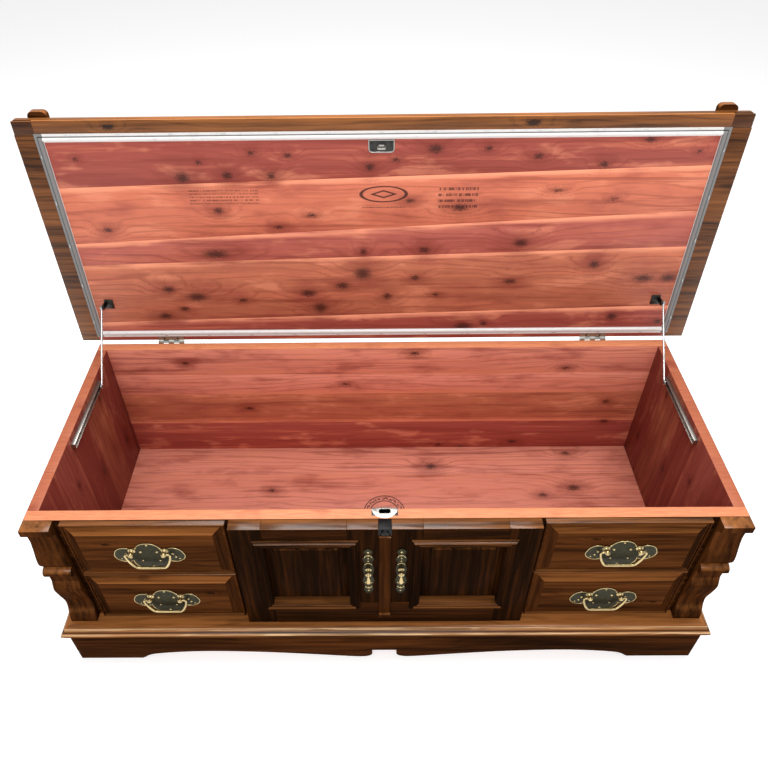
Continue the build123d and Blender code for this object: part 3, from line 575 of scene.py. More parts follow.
class Finish:
    """One material: its nodes, its shader and the place of the point that is shaded, in millimetres."""

    def __init__(self, name, metallic=0.0, specular=0.5, coat=0.0, coat_roughness=0.2):
        self.material = bpy.data.materials.new(name)
        self.material.use_nodes = True
        self.tree = self.material.node_tree
        self.shader = self.tree.nodes["Principled BSDF"]
        for socket, value in (("Metallic", metallic), ("Specular IOR Level", specular), ("Coat Weight", coat),
                              ("Coat Roughness", coat_roughness)):
            self.shader.inputs[socket].default_value = value
        place = self.node("ShaderNodeTexCoord", out="Object")
        self.place = self.node("ShaderNodeVectorMath", {"operation": "SCALE"}, {0: place, "Scale": MM})
        parts = self.node("ShaderNodeSeparateXYZ", {}, {0: self.place}, out=None)
        self.x, self.y, self.z = (Value(self.tree, parts.outputs[i]) for i in range(3))
        facing = self.node("ShaderNodeTexCoord", out="Normal")
        self.up = Value(self.tree, self.node("ShaderNodeSeparateXYZ", {}, {0: facing}, out=None).outputs[2])

    def node(self, kind, settings=None, sockets=None, out=0):
        """Adds a node, sets it, feeds its sockets and gives one of its outputs, or the node itself."""
        node = self.tree.nodes.new(kind)
        for key, value in (settings or {}).items():
            setattr(node, key, value)
        for key, value in (sockets or {}).items():
            feed(self.tree, node.inputs[key], value)
        return node if out is None else Value(self.tree, node.outputs[out])

    def made(self, base, roughness, height=None, deep=0.1, strength=0.5):
        """Feeds the shader. height is a relief of 0 to 1, this many millimetres deep."""
        feed(self.tree, self.shader.inputs["Base Color"], base)
        feed(self.tree, self.shader.inputs["Roughness"], roughness)
        if height is not None:
            normal = self.node("ShaderNodeBump", {}, {"Height": height, "Distance": deep / MM, "Strength": strength})
            feed(self.tree, self.shader.inputs["Normal"], normal)
        return self.material

    def vector(self, x, y, z):
        return self.node("ShaderNodeCombineXYZ", {}, {0: x, 1: y, 2: z})

    def noise(self, vector, detail=2.0, rough=0.5, scale=1.0):
        return self.node("ShaderNodeTexNoise", {}, {"Vector": vector, "Scale": scale, "Detail": detail,
                                                    "Roughness": rough})

    def rise(self, value, low, high, bottom=0.0, top=1.0):
        """A smooth step from bottom to top as value goes from low to high."""
        return self.node("ShaderNodeMapRange", {"interpolation_type": "SMOOTHSTEP"},
                         {0: value, 1: low, 2: high, 3: bottom, 4: top})

    def mix(self, amount, first, second):
        return self.node("ShaderNodeMix", {"data_type": "RGBA"}, {0: amount, 6: first, 7: second}, out=2)

    def way(self, grain):
        """Distances along the grain, across it and through the board."""
        return {"lid": (self.x, (self.z - LID_ORIGIN[2]) / cos(TILT), self.y),
                "wall": (self.x, RIM - self.z, self.y), "floor": (self.x, self.y - FRONT, self.z),
                "end": (self.z, self.y - FRONT, self.x), "along": (self.x, self.z, self.y),
                "upright": (self.z, self.x, self.y), "deep": (self.y, self.z, self.x)}[grain]

    def near(self, run, across, knots):
        """How far the nearest knot's centre is, as a multiple of its radius. Knots are ragged ovals along the grain."""
        ragged = self.node("ShaderNodeTexNoise", {}, {"Vector": self.vector(run * 0.07, across * 0.1, 0.0),
                                                      "Detail": 2.0}, out=None)
        shove = self.node("ShaderNodeSeparateColor", {}, {0: Value(self.tree, ragged.outputs["Color"])}, out=None)
        push, lift = (Value(self.tree, shove.outputs[i]) - 0.5 for i in (0, 1))
        spot = self.vector(run + push * 22, across + lift * 16, 0.0)
        near = None
        for u, v, wide, tall in knots:
            wide, tall = wide * KNOT_STRETCH, tall * KNOT_SQUEEZE
            offset = self.node("ShaderNodeVectorMath", {"operation": "MULTIPLY_ADD"},
                               {0: spot, 1: (1 / wide, 1 / tall, 0), 2: (-u / wide, -v / tall, 0)})
            distance = self.node("ShaderNodeVectorMath", {"operation": "LENGTH"}, {0: offset}, out="Value")
            near = distance if near is None else near.least(distance)
        return near


# Knots, in millimetres: the place along the board and across it, and the radii along it and across it
LID_KNOTS = ((-542, 408, 6, 5), (-358, 371, 16, 17), (-325, 400, 7, 6), (-277, 374, 11, 13), (-230, 416, 8, 7),
             (-198, 373, 9, 12), (-166, 412, 8, 6), (-303, 304, 11, 11), (-518, 266, 10, 9), (-194, 269, 10, 7),
             (-321, 211, 29, 15), (-429, 129, 15, 13), (-374, 110, 25, 15), (-282, 101, 10, 8), (-404, 81, 12, 9),
             (-447, 63, 17, 11), (-21, 388, 10, 12), (26, 401, 9, 5), (95, 421, 16, 13), (188, 421, 8, 8),
             (-130, 293, 10, 7), (53, 321, 11, 8), (145, 306, 16, 11), (-35, 213, 8, 12), (83, 216, 13, 11),
             (-37, 163, 20, 22), (-78, 135, 17, 13), (-147, 117, 18, 14), (-125, 81, 17, 20), (12, 108, 11, 12),
             (67, 152, 12, 9), (110, 111, 8, 6), (170, 30, 22, 16), (213, 37, 9, 9), (277, 406, 10, 9),
             (467, 434, 11, 8), (395, 389, 10, 8), (558, 412, 6, 5), (322, 340, 10, 5), (427, 321, 7, 4),
             (267, 230, 17, 14), (417, 181, 13, 14), (256, 142, 15, 10), (521, 147, 24, 13), (570, 147, 18, 15),
             (477, 53, 14, 14), (575, 40, 9, 9))
WALL_KNOTS = ((70, 15, 11, 8), (397, 61, 10, 7), (310, 299, 12, 9), (189, 319, 9, 8), (505, 165, 10, 8),
              (514, 231, 12, 9), (134, 308, 8, 7), (-420, 40, 9, 7), (-300, 180, 12, 8), (-80, 105, 8, 6))
FLOOR_KNOTS = ((114, 366, 15, 12), (436, 404, 12, 8), (433, 303, 17, 12), (360, 283, 12, 8), (-250, 300, 10, 8),
               (-470, 180, 12, 9), (240, 90, 11, 9))
END_KNOTS = ((150, 80, 9, 7), (320, 150, 8, 7), (240, 245, 11, 8), (370, 330, 9, 6), (190, 380, 10, 7))
# What a knot's radii are multiplied by along the grain and across it
KNOT_STRETCH, KNOT_SQUEEZE = 1.1, 0.82
# The joints between boards: the lid's at their left and right ends, the rear's down from the rim, and the floor's
# and the ends' back from the front
BOARD_RUN = 1200
LINING_JOINTS = ((47, 81), (187, 219), (235, 296), (352, 386))
REAR_DROPS = (74, 135, 228)
FLOOR_JOINTS = (128, 236, 345)
END_JOINTS = (101, 182, 263, 344)
# How near to the case's outer faces and rim a point counts as lying on them
SKIN = 0.7
# The middles of the plain marks: along and across the lid's lining, and across and back from the front on the floor
EMBLEM = (4, 335)
STAMP = (4, 238)


def cedar(f, grain, joints, tints, knots, seed, cream=0.6, ringed=0.5, shadow=0.0):
    """Planed cedar boards, as (colour, height, roughness).

    joints are the boards' edges at the left and right ends of the run, tints the boards' colours, cream how pale the
    streaks beside the joints are, ringed how strong the rings are, and shadow how far the wood is darkened.
    """
    run, across, deep = f.way(grain)
    tint = colour(tints[0])
    board = seed
    band = None
    for (left, right), name in zip(joints, tints[1:]):
        line = run * ((right - left) / BOARD_RUN) + (left + right) / 2
        beyond = across > line
        tint = f.mix(beyond, tint, colour(name))
        board = beyond * 5.3 + board
        before = line - across
        strip = f.rise(before, 15, 2) * (before > 0.0)
        band = strip if band is None else band.most(strip)
    drift = f.noise(f.vector(run * 0.0016, across * 0.009 + board, deep * 0.01), 2, 0.5)
    streak = f.noise(f.vector(run * 0.003, across * 0.07 + board, deep * 0.05 + seed), 3, 0.6)
    cloud = f.noise(f.vector(run * 0.008, across * 0.022 + board, seed), 3, 0.6)
    fibre = f.noise(f.vector(run * 0.02, across * 1.1 + board, deep * 1.1), 3, 0.65)
    field = across * 0.07 + drift * 8 + streak * 0.8 + board
    if knots:
        near = f.near(run, across, knots)
        field = field + f.rise(near, 4.5, 0.6) * 1.6
    wave = (field * 2 * pi).sine()
    rings = f.rise(wave, 0.55, 1.0) * f.rise(drift + streak * 0.6, 0.55, 1.0, 0.2, 1.0)
    base = f.mix(f.rise(streak, 0.5, 0.72, 0.0, 0.65), tint, colour("salmon"))
    base = f.mix(f.rise(cloud, 0.52, 0.28, 0.0, 0.6), base, colour("red"))
    base = f.mix(f.rise(cloud, 0.53, 0.66, 0.0, 0.4), base, colour("cream"))
    base = f.mix(f.rise(streak, 0.46, 0.32, 0.0, 0.45), base, colour("latewood"))
    base = f.mix(rings * ringed, base, colour("latewood"))
    base = f.mix(f.rise(fibre, 0.5, 0.8, 0.0, 0.25), base, colour("latewood"))
    if band is not None:
        base = f.mix(band * f.rise(streak + cloud * 0.5, 0.5, 0.85) * cream, base, colour("cream"))
    if knots:
        smear = near + (streak - 0.5) * 5 + (fibre - 0.5) * 1.2
        base = f.mix(f.rise(smear, 3.4, 0.6, 0.0, 0.5), base, colour("latewood"))
        base = f.mix(f.rise(near + (fibre - 0.5) * 0.9, 1.15, 0.2, 0.0, 0.85), base, colour("knot"))
    if shadow:
        base = f.mix(shadow, base, colour("knot"))
    return base, fibre * 0.7 + rings * 0.3, f.rise(fibre + cloud, 0.6, 1.5, 0.42, 0.62)


def stained(f, grain, light, amber=0.0, seed=0.0, knots=()):
    """Pine under a dark stain, as (colour, height, roughness).

    light is how thin the stain is, and amber how warm it is there.
    """
    run, across, deep = f.way(grain)
    drift = f.noise(f.vector(run * 0.002 + seed, across * 0.012, deep * 0.012), 3, 0.55)
    streak = f.noise(f.vector(run * 0.004, across * 0.11 + seed, deep * 0.11), 3, 0.6)
    fibre = f.noise(f.vector(run * 0.02, across + seed, deep), 3, 0.6)
    field = across * 0.05 + deep * 0.04 + drift * 6 + seed
    if knots:
        near = f.near(run, across, knots)
        field = field + f.rise(near, 4.5, 0.5) * 1.6
    rings = f.rise((field * 2 * pi).sine(), 0.4, 1.0)
    thin = (streak - 0.5) * 0.9 + (drift - 0.5) * 0.8 + (fibre - 0.5) * 0.35 - rings * 0.1 + light
    base = f.mix(f.rise(thin, 0.0, 1.0), colour("dark_stain"), colour("stain"))
    # Faces that point up are painted lighter and warmer: a painted highlight from the lamps above.
    painted_top_light = f.rise(f.up, 0.15, 0.8, 0.0, 0.5)
    base = f.mix((f.rise(thin, 0.3, 1.1) * amber + painted_top_light * f.rise(thin, -0.1, 0.8)).least(1.0), base, colour("amber"))
    if knots:
        base = f.mix(f.rise(near + (fibre - 0.5), 1.35, 0.7, 0.0, 0.85), base, colour("dark_stain"))
    return base, fibre * 0.6 + rings * 0.4, f.rise(fibre + streak, 0.6, 1.5, 0.26, 0.42)


def case_cedar(name, grain, joints, tints, knots, seed, rim_soil_and_shade=0.06, **settings):
    """Cedar inside, paler along the rim, and stained where the board shows outside. Its rim darkening setting is how
    far the rim is darkened in patches: light soil, and on the end boards painted shade.
    """
    f = Finish(name, specular=0.0, coat_roughness=0.45)
    base, height, rough = cedar(f, grain, joints, tints, knots, seed, **settings)
    edge = f.rise(f.noise(f.vector(f.x * 0.03, f.y * 0.3, 0.0), 3, 0.65), 0.35, 0.7)
    rim = f.mix(edge * 0.55, colour("rim"), colour("umber"))
    # The rim is darkened in patches towards the grain colour: light soil on most boards, and painted shade on the end
    # boards, where the setting is large.
    rim_soil_and_shade_mix = f.rise(f.noise(f.vector(f.x * 0.012, f.y * 0.012, seed), 2, 0.6), 0.56, 0.75, rim_soil_and_shade, rim_soil_and_shade + 0.3)
    base = f.mix(f.z > RIM - SKIN, base, f.mix(rim_soil_and_shade_mix, rim, colour("latewood")))
    outside = (f.x.size() > HALF - SKIN).most(f.y > REAR - SKIN).most(f.y < FRONT + SKIN)
    stain, _, _ = stained(f, "along", 0.35, 0.2, seed)
    feed(f.tree, f.shader.inputs["Coat Weight"], (1 - outside) * 0.45)
    return f.made(f.mix(outside, base, stain), rough, height, 0.12)


def wood(name, grain, light, amber=0.0, seed=0.0, knots=()):
    """Stained pine, with its lacquer polished where hands and cloths rub it most, on what faces up."""
    f = Finish(name, specular=0.0, coat_roughness=0.2)
    base, height, rough = stained(f, grain, light, amber, seed, knots)
    feed(f.tree, f.shader.inputs["Coat Weight"], f.rise(f.up, 0.5, 0.9, 0.01, 0.7))
    return f.made(base, rough, height, 0.1)


def ledge(name, grain, seed):
    """The base moulding: streaky on its flat, with painted shade in its quirks and painted highlights along its beads.
    """
    f = Finish(name, specular=0.0, coat_roughness=0.18)
    base, height, rough = stained(f, grain, 0.6, 0.5, seed)
    down = BASE_TOP - f.z
    # Painted highlights along the beads, let through in patches.
    bead = f.rise((down - 5.0).size(), 2.0, 0.5).most(f.rise((down - 12.0).size(), 3.0, 0.8))
    bead = bead.most(f.rise((down - 0.9).size(), 0.8, 0.3))
    patch = f.noise(f.vector(f.x * 0.012, f.y * 0.012, down * 0.2), 2, 0.5)
    base = f.mix(bead * f.rise(height * 0.6 + patch, 0.5, 1.0, 0.25, 0.9), base, colour("painted_highlight"))
    # Painted shade in the quirks beside the beads.
    painted_quirk_shade = f.rise((down - 2.9).size(), 1.0, 0.4).most(f.rise((down - 9.0).size(), 1.3, 0.5))
    base = f.mix(painted_quirk_shade * 0.75, base, colour("dark_stain"))
    feed(f.tree, f.shader.inputs["Coat Weight"], f.rise(f.up, 0.3, 0.9, 0.02, 0.6))
    return f.made(base, rough, height, 0.1)


def strokes(f, run, across, low, high, rows, pitch, seed):
    """Rows of small dark strokes that stand for a stencil, without any letters."""
    row = (across - low[1]) / ((high[1] - low[1]) / rows)
    line = f.rise((row.part() - 0.5).size(), 0.28, 0.18)
    dashes = f.rise(f.noise(f.vector(run * pitch, row.whole() * 7.3 + seed, seed), 2), 0.45, 0.52)
    inside = (run > low[0]) * (run < high[0]) * (across > low[1]) * (across < high[1])
    return line * dashes * inside


def lid_cedar():
    """The lining, with plain marks where the maker's stencils are."""
    f = Finish("lid_cedar", specular=0.3)
    base, height, rough = cedar(f, "lid", LINING_JOINTS, ("red", "umber", "rose", "salmon", "red"), LID_KNOTS, 2.0,
                                cream=1.0, ringed=0.45)
    run, across, _ = f.way("lid")
    marks = strokes(f, run, across, (-353, 316), (-224, 348), 5, 0.55, 1.0) * 0.6
    marks = marks.most(strokes(f, run, across, (104, 303), (177, 350), 4, 0.34, 4.0) * 0.75)
    marks = marks.most(strokes(f, run, across, (-36, 306), (44, 311), 1, 0.5, 7.0) * 0.8)
    oval = f.node("ShaderNodeVectorMath", {"operation": "LENGTH"},
                  {0: f.vector((run - EMBLEM[0]) / 46, (across - EMBLEM[1]) / 17, 0.0)}, out="Value")
    lozenge = ((run - EMBLEM[0]) / 26).size() + ((across - EMBLEM[1]) / 8.5).size()
    emblem = f.rise((oval - 0.9).size(), 0.09, 0.05).most(f.rise((lozenge - 0.8).size(), 0.22, 0.14))
    marks = marks.most(emblem * 0.9)
    return f.made(f.mix(marks, base, colour("knot")), rough, height, 0.12)


def floor_cedar():
    """The floor, with a plain round stamp near its front."""
    f = Finish("floor_cedar", specular=0.3)
    base, height, rough = cedar(f, "floor", [(d, d) for d in FLOOR_JOINTS], ("pink", "salmon", "pink", "pink"),
                                FLOOR_KNOTS, 9.0, cream=0.6, ringed=0.35, shadow=0.24)
    ring = f.node("ShaderNodeVectorMath", {"operation": "LENGTH"},
                  {0: f.vector(f.x - STAMP[0], f.y - (FRONT + STAMP[1]), 0.0)}, out="Value")
    rims = f.rise((ring - 45).size(), 1.6, 1.0).most(f.rise((ring - 31.5).size(), 1.6, 1.0))
    dashes = f.rise(f.noise(f.vector(f.x * 0.2, f.y * 0.2, 0.0), 1), 0.47, 0.53) * f.rise((ring - 38).size(), 4, 3)
    stamp = rims.most(dashes)
    return f.made(f.mix(stamp * 0.85, base, colour("knot")), rough, height, 0.12)


def metal(name, first, second, roughness, low=0.35, high=0.7, metallic=1.0, grain=0.12, coat=0.0, specular=0.5):
    """Metal whose tarnish comes and goes between two colours."""
    f = Finish(name, metallic=metallic, specular=specular, coat=coat)
    patch = f.noise(f.place, 3, 0.6, grain)
    speck = f.noise(f.place, 2, 0.6, grain * 9)
    base = f.mix(f.rise(patch + (speck - 0.5) * 0.4, low, high), colour(first), colour(second))
    return f.made(base, f.rise(patch + speck, 0.6, 1.4, roughness, roughness + 0.16), speck, 0.05, 0.25)


def seal_finish():
    """Plastic with a painted shade line in the crease between its flange and its bulb, and greyer down the sides."""
    f = Finish("seal", specular=0.5)
    across = f.way("lid")[1]
    out = (SEAL_HALF - f.x.size()).least(SEAL_FRONT - across).least(across - SEAL_BACK)
    # A painted shade line along the crease between flange and bulb.
    painted_crease_shade = f.rise((out - 5.4).size(), 1.3, 0.5)
    dust = f.noise(f.place, 3, 0.6, 0.06)
    side = f.rise(f.x.size(), SEAL_HALF - 15, SEAL_HALF - 14) * 0.8
    base = f.mix(f.rise(dust, 0.5, 0.9, 0.0, 0.3).most(side), colour("seal"), colour("steel"))
    return f.made(f.mix(painted_crease_shade * 0.8, base, colour("enamel")), f.rise(dust, 0.3, 0.7, 0.3, 0.45), dust, 0.08)


def lid_border(name, seed, light, amber):
    """The stained border round the lining, with a knot or two along its front."""
    f = Finish(name, specular=0.2, coat=0.1, coat_roughness=0.24)
    base, height, rough = stained(f, "lid", light, amber, seed, ((-470, 466, 9, 6), (260, 466, 11, 6)))
    return f.made(base, rough, height, 0.1)


def pale_floor():
    """The ground: nearly white, matt, and glowing a little so that it stays pale."""
    f = Finish("pale_floor", specular=0.0)
    shade = f.noise(f.place, 2, 0.5, 0.002)
    feed(f.tree, f.shader.inputs["Emission Color"], (1, 1, 1))
    f.shader.inputs["Emission Strength"].default_value = 0.5
    return f.made(f.mix(shade * 0.1, (0.86, 0.86, 0.86), (0.83, 0.83, 0.83)), 0.9)


SEAL_HALF, SEAL_FRONT, SEAL_BACK = 602, 455, 10
RECIPES = {
    "front_cedar": lambda: case_cedar("front_cedar", "wall", [(160, 160)], ("umber", "rose"), (), 21.0),
    "rear_cedar": lambda: case_cedar("rear_cedar", "wall", [(d, d) for d in REAR_DROPS],
                                     ("pink", "pink", "umber", "red"), WALL_KNOTS, 13.0, cream=0.8, ringed=0.3),
    # On the end boards the heavy rim darkening is painted shade.
    "end_cedar": lambda: case_cedar("end_cedar", "end", [(d, d) for d in END_JOINTS],
                                    ("red", "rose", "red", "umber", "red"), END_KNOTS, 17.0, cream=0.2,
                                    shadow=0.58, rim_soil_and_shade=0.58),
    "floor_cedar": floor_cedar,
    "lid_cedar": lid_cedar,
    "pine_upright": lambda: wood("pine_upright", "upright", 0.42, 0.05, 5.0),
    "pine_dark": lambda: wood("pine_dark", "upright", 0.2, 0.0, 8.0),
    "pine_dark_across": lambda: wood("pine_dark_across", "along", 0.32, 0.0, 8.5),
    "pine_deep": lambda: wood("pine_deep", "deep", 0.45, 0.1, 3.0),
    "pine_drawer": lambda: wood("pine_drawer", "along", 0.55, 0.1, 11.0, knots=(
        (-470, 372, 7, 4), (-318, 214, 6, 4), (352, 380, 7, 4), (498, 176, 6, 4))),
    "pine_pilaster": lambda: wood("pine_pilaster", "upright", 0.5, 0.08, 15.0),
    "pine_apron": lambda: wood("pine_apron", "along", 0.45, 0.05, 19.0),
    "pine_lid": lambda: wood("pine_lid", "along", 0.55, 0.25, 23.0),
    # Lighter copies of the stain for faces that point up: painted light on tops, lips and bevels.
    "pine_top": lambda: wood("pine_top", "along", 0.32, 0.1, 25.0),
    "pine_bevel": lambda: wood("pine_bevel", "along", 0.62, 0.35, 26.0),
    "ledge_across": lambda: ledge("ledge_across", "along", 27.0),
    "ledge_deep": lambda: ledge("ledge_deep", "deep", 29.0),
    "border": lambda: lid_border("border", 31.0, 0.66, 0.38),
    "border_front": lambda: lid_border("border_front", 33.0, 0.72, 0.5),
    "border_corner": lambda: lid_border("border_corner", 35.0, 0.52, 0.2),
    "brass_dark": lambda: metal("brass_dark", "brass", "dark_stain", 0.38, 0.45, 0.9),
    "brass_bright": lambda: metal("brass_bright", "bright_brass", "brass", 0.26, 0.5, 0.95),
    "nickel": lambda: metal("nickel", "nickel", "steel", 0.28, 0.5, 0.95),
    "steel": lambda: metal("steel", "steel", "enamel", 0.34, 0.45, 0.9),
    "chrome": lambda: metal("chrome", "chrome", "nickel", 0.16, 0.4, 0.9),
    "black_metal": lambda: metal("black_metal", "enamel", "steel", 0.3, 0.5, 1.6, metallic=0.0, coat=0.08,
                                  specular=0.1),
    "seal": seal_finish,
    "pale_floor": pale_floor,
}
FINISHES = {}


def finish(name):
    """The material of this name, made when it is first asked for."""
    if name not in FINISHES:
        FINISHES[name] = RECIPES[name]()
    return FINISHES[name]


# ------------------------------------------------------------------ case
def on_bench(node):
    """A node's corners in millimetres, with Y counted from the front face."""
    low, high = box_mm(node)
    return low - Vector((0, FRONT, 0)), high - Vector((0, FRONT, 0))


def lens():
    """The lock plate's outline: a deep curve to the front and a shallow one behind."""
    return chain(arc((-23, WALL), (0, 1.5), (23, WALL), 20), arc((23, WALL), (0, WALL + 3.5), (-23, WALL), 10))


def make_front_board():
    board = plank((-HALF, 0, WALL_FOOT), (HALF, WALL, RIM))
    low, high = on_bench("lock_case")
    carve(board, plank((low.x, low.y, low.z), (high.x, WALL + 5, RIM + 5), 0))
    carve(board, prism(lens(), high.z, RIM + 5))
    carve(board, shift(prism(disc(3.4), -8, 1), w=BUTTON_Z, turn=UPRIGHT.inverted()))
    finished(board, "front_board", TOP, "front_cedar")


def make_rear_boards():
    edges = [RIM, *(RIM - drop for drop in REAR_DROPS), WALL_FOOT]
    boards = [plank((-HALF, DEPTH - WALL, low), (HALF, DEPTH, high)) for high, low in zip(edges, edges[1:])]
    finished(together(boards, "rear_cedar"), "rear_boards", TOP)


def make_end_boards():
    low, high = on_bench("end_boards_right")
    pitch = (high.y - low.y) / 5
    for word, side in SIDES.items():
        boards = [plank((side * low.x, low.y + i * pitch, low.z), (side * high.x, low.y + (i + 1) * pitch, RIM))
                  for i in range(5)]
        finished(together(boards, "end_cedar"), f"end_boards_{word}", TOP)


def make_floor_boards():
    low, high = on_bench("floor_boards")
    edges = [low.y, *FLOOR_JOINTS, high.y]
    boards = [plank((low.x, a, low.z), (high.x, b, high.z)) for a, b in zip(edges, edges[1:])]
    finished(together(boards, "floor_cedar"), "floor_boards", TOP)


# ------------------------------------------------------------------ front
BUTTON_Z = RIM - 9.5
door_low, door_high = box_mm("door_moulding_right")
DOOR = Vector(((door_low.x + door_high.x) / 2, (door_low.z + door_high.z) / 2))
DOOR_HALF = ((door_high.x - door_low.x) / 2, (door_high.z - door_low.z) / 2)
MOULD = 18


def make_front_frame():
    """Two outer stiles, rails between them, and a centre stile notched for the lock."""
    barrel_low, barrel_high = box_mm("lock_barrel")
    inner = DOOR.x - DOOR_HALF[0] + MOULD
    outer = DOOR.x + DOOR_HALF[0] - MOULD
    foot = DOOR.y - DOOR_HALF[1] + MOULD
    head = DOOR.y + DOOR_HALF[1] - MOULD
    notch = barrel_high.x
    stiles = [prism([(-inner, foot), (inner, foot), (inner, RIM), (notch, RIM), (notch, barrel_low.z),
                     (-notch, barrel_low.z), (-notch, RIM), (-inner, RIM)], 0, FRAME_PROUD, sizes("edge"))]
    rails = [plank((-outer, LEDGE, 0), (outer, foot, FRAME_PROUD))]
    for side in SIDES.values():
        stiles.append(plank((side * outer, LEDGE, 0), (side * FRAME_HALF, RIM, FRAME_PROUD), 1.2))
        rails.append(plank((side * inner, head, 0), (side * outer, RIM, FRAME_PROUD)))
    frame_parts = [together(stiles, "pine_dark"), together(rails, "pine_dark_across")]
    # Faces that point up at the rim take a lighter copy of the stain: painted light on the tops.
    whole = tinted(together(frame_parts), "pine_top", lambda at, normal: normal[1] > 0.7 and at[1] > RIM - 5)
    finished(whole, "front_frame", FACE)


def make_doors():
    """Raised door panels, each in a frame of mitred moulding."""
    panel_half = (DOOR_HALF[0] - MOULD, DOOR_HALF[1] - MOULD)
    profile = [(0, 0), (0, 2.6), (0.4, 3), (2.8, 3), (3.2, 4.6), (4, 5.7), (5.2, 6.4), (6.6, 6.4), (7.8, 5.8),
               (8.7, 4.8), (9, 3.4), (11.5, 3.4), (11.8, 4.3), (12.6, 4.9), (13.9, 4.9), (14.7, 4.3), (15, 3.4),
               (17.6, 3.4), (18, 3), (18, 0)]
    for word, side in SIDES.items():
        place = FACE @ Matrix.Translation((side * DOOR.x, DOOR.y, 0))
        panel = stepped(panel_half, 8, [(2, 0), (1, 0.6), (12, 4.2), (1, 0.2), (0.3, 2.8), (0.4, 0.8), (0.8, 0.4)])
        finished(panel, f"door_panel_{word}", place, "pine_dark")
        moulding = painted(framed(profile, *DOOR_HALF, FRAME_PROUD), "pine_dark_across")
        tinted(moulding, "pine_dark", lambda at, normal: abs(at[0]) / DOOR_HALF[0] > abs(at[1]) / DOOR_HALF[1] + 0.1)
        finished(moulding, f"door_moulding_{word}", place, smooth=25)
    low, high = box_mm("centre_post")
    block = 9
    post = plank((low.x, low.z + block, FRAME_PROUD), (high.x, high.z, FRAME_PROUD + 4), 1.2)
    foot = prism([(low.x, 0), (low.x + 3, 0), *arc((low.x + 3, 1), (0, 5), (high.x - 3, 1), 8), (high.x - 3, 0),
                  (high.x, 0), (high.x, block), (low.x, block)], 0, 8, 0.5)
    shift(foot, v=low.z, w=FRAME_PROUD)
    finished(together([post, foot], "pine_upright"), "centre_post", FACE)


def make_drawers():
    """Drawer fronts with a rounded lip, a groove, a wide bevel and a raised field."""
    low, high = box_mm("drawer_front_upper_right")
    half = ((high.x - low.x) / 2, (high.z - low.z) / 2)
    front = stepped(half, 8.2, [(0.3, 0.9), (0.5, 0.6), (0.9, 0.3), (1.1, 0), (0.5, -0.5), (0.5, -2.5), (1.7, 0),
                                (15.6, 7.6), (0.5, 0.3), (0.6, 0.1)])
    painted(front, "pine_drawer")
    # The top bevel and the lips' tops take lighter copies of the stain: painted light on faces that point up.
    tinted(front, "pine_bevel", lambda at, normal: 0.3 < normal[1] < 0.7)
    tinted(front, "pine_top", lambda at, normal: normal[1] > 0.7)
    # The side bevels take the darker, upright-grained finish: painted shade on faces that turn sideways.
    tinted(front, "pine_upright", lambda at, normal: abs(normal[0]) > 0.3)
    for level in ("upper", "lower"):
        for word in SIDES:
            low, high = box_mm(f"drawer_front_{level}_{word}")
            middle = (low + high) / 2
            finished(copied(front), f"drawer_front_{level}_{word}",
                     FACE @ Matrix.Translation((middle.x, middle.z, 0)), smooth=30)
    bpy.data.objects.remove(front)


def make_pilasters():
    """Sawn profile boards: cap, cove, long swell, ring, vase and flared foot."""
    drop = RIM - LEDGE
    cap = FRONT - box_mm("pilaster_left")[0].y
    curve = chain([(0, 0), (cap, 0), (cap, 15), (18, 15), (18, 19)], arc((18, 19), (11.5, 24), (9, 33), 7),
                  flowing([(9, 33), (9, 50), (12.5, 70), (17.2, 90), (18, 106), (12, 119)], 5), [(11, 122)],
                  arc((11, 122), (22, 133), (11, 144), 12), [(10, 168)],
                  flowing([(10, 168), (14.5, 181), (16.3, 193), (11, 222), (5.5, 248), (7.5, 266), (13, 280),
                           (17, 297)], 5), [(17, drop), (0, drop)])
    outline = [(-proud, RIM - down) for proud, down in curve]
    for word, side in SIDES.items():
        low, high = box_mm(f"pilaster_{word}")
        finished(prism(outline, low.x, high.x, 0.8), f"pilaster_{word}", END, "pine_pilaster", smooth=30)


# ------------------------------------------------------------------ base
def make_base_mouldings():
    low, high = on_bench("base_moulding_front")
    reach = -low.y
    side_reach = high.x - HALF
    tall = high.z - low.z
    top = chain([(9, 0)], arc((9, 0), (7.6, 0.9), (7, 2.5), 4), [(8, 3.5)], arc((8, 3.5), (6.6, 7.4), (3, 9.5), 6),
                arc((3, 9.5), (0, 16), (3, 22.5), 12), [(3, tall)])
    profile = [(depth, high.z - down) for depth, down in top]
    length = 2 * high.x
    front = prism([(reach, high.z), *profile, (reach, low.z)], 0, length)
    front = shift(front, -high.x, low.y, turn=ACROSS)
    for side in SIDES.values():
        corner = [(side * (high.x + 9), low.y - 9), (side * HALF, low.y + side_reach), (side * HALF, 9),
                  (side * (high.x + 9), 9)]
        carve(front, prism(corner, low.z - 5, high.z + 5))
    finished(front, "base_moulding_front", TOP, "ledge_across", smooth=30)
    for word, side in SIDES.items():
        moulding = prism([(side_reach, high.z), *profile, (side_reach, low.z)], 0, DEPTH + reach)
        cut_off(moulding, (0, 0, 0), (1, 0, -1))
        turn = Matrix(((-side, 0, 0, side * high.x), (0, 0, 1, low.y), (0, 1, 0, 0), (0, 0, 0, 1)))
        finished(shift(moulding, turn=turn), f"base_moulding_{word}", TOP, "ledge_deep", smooth=30)


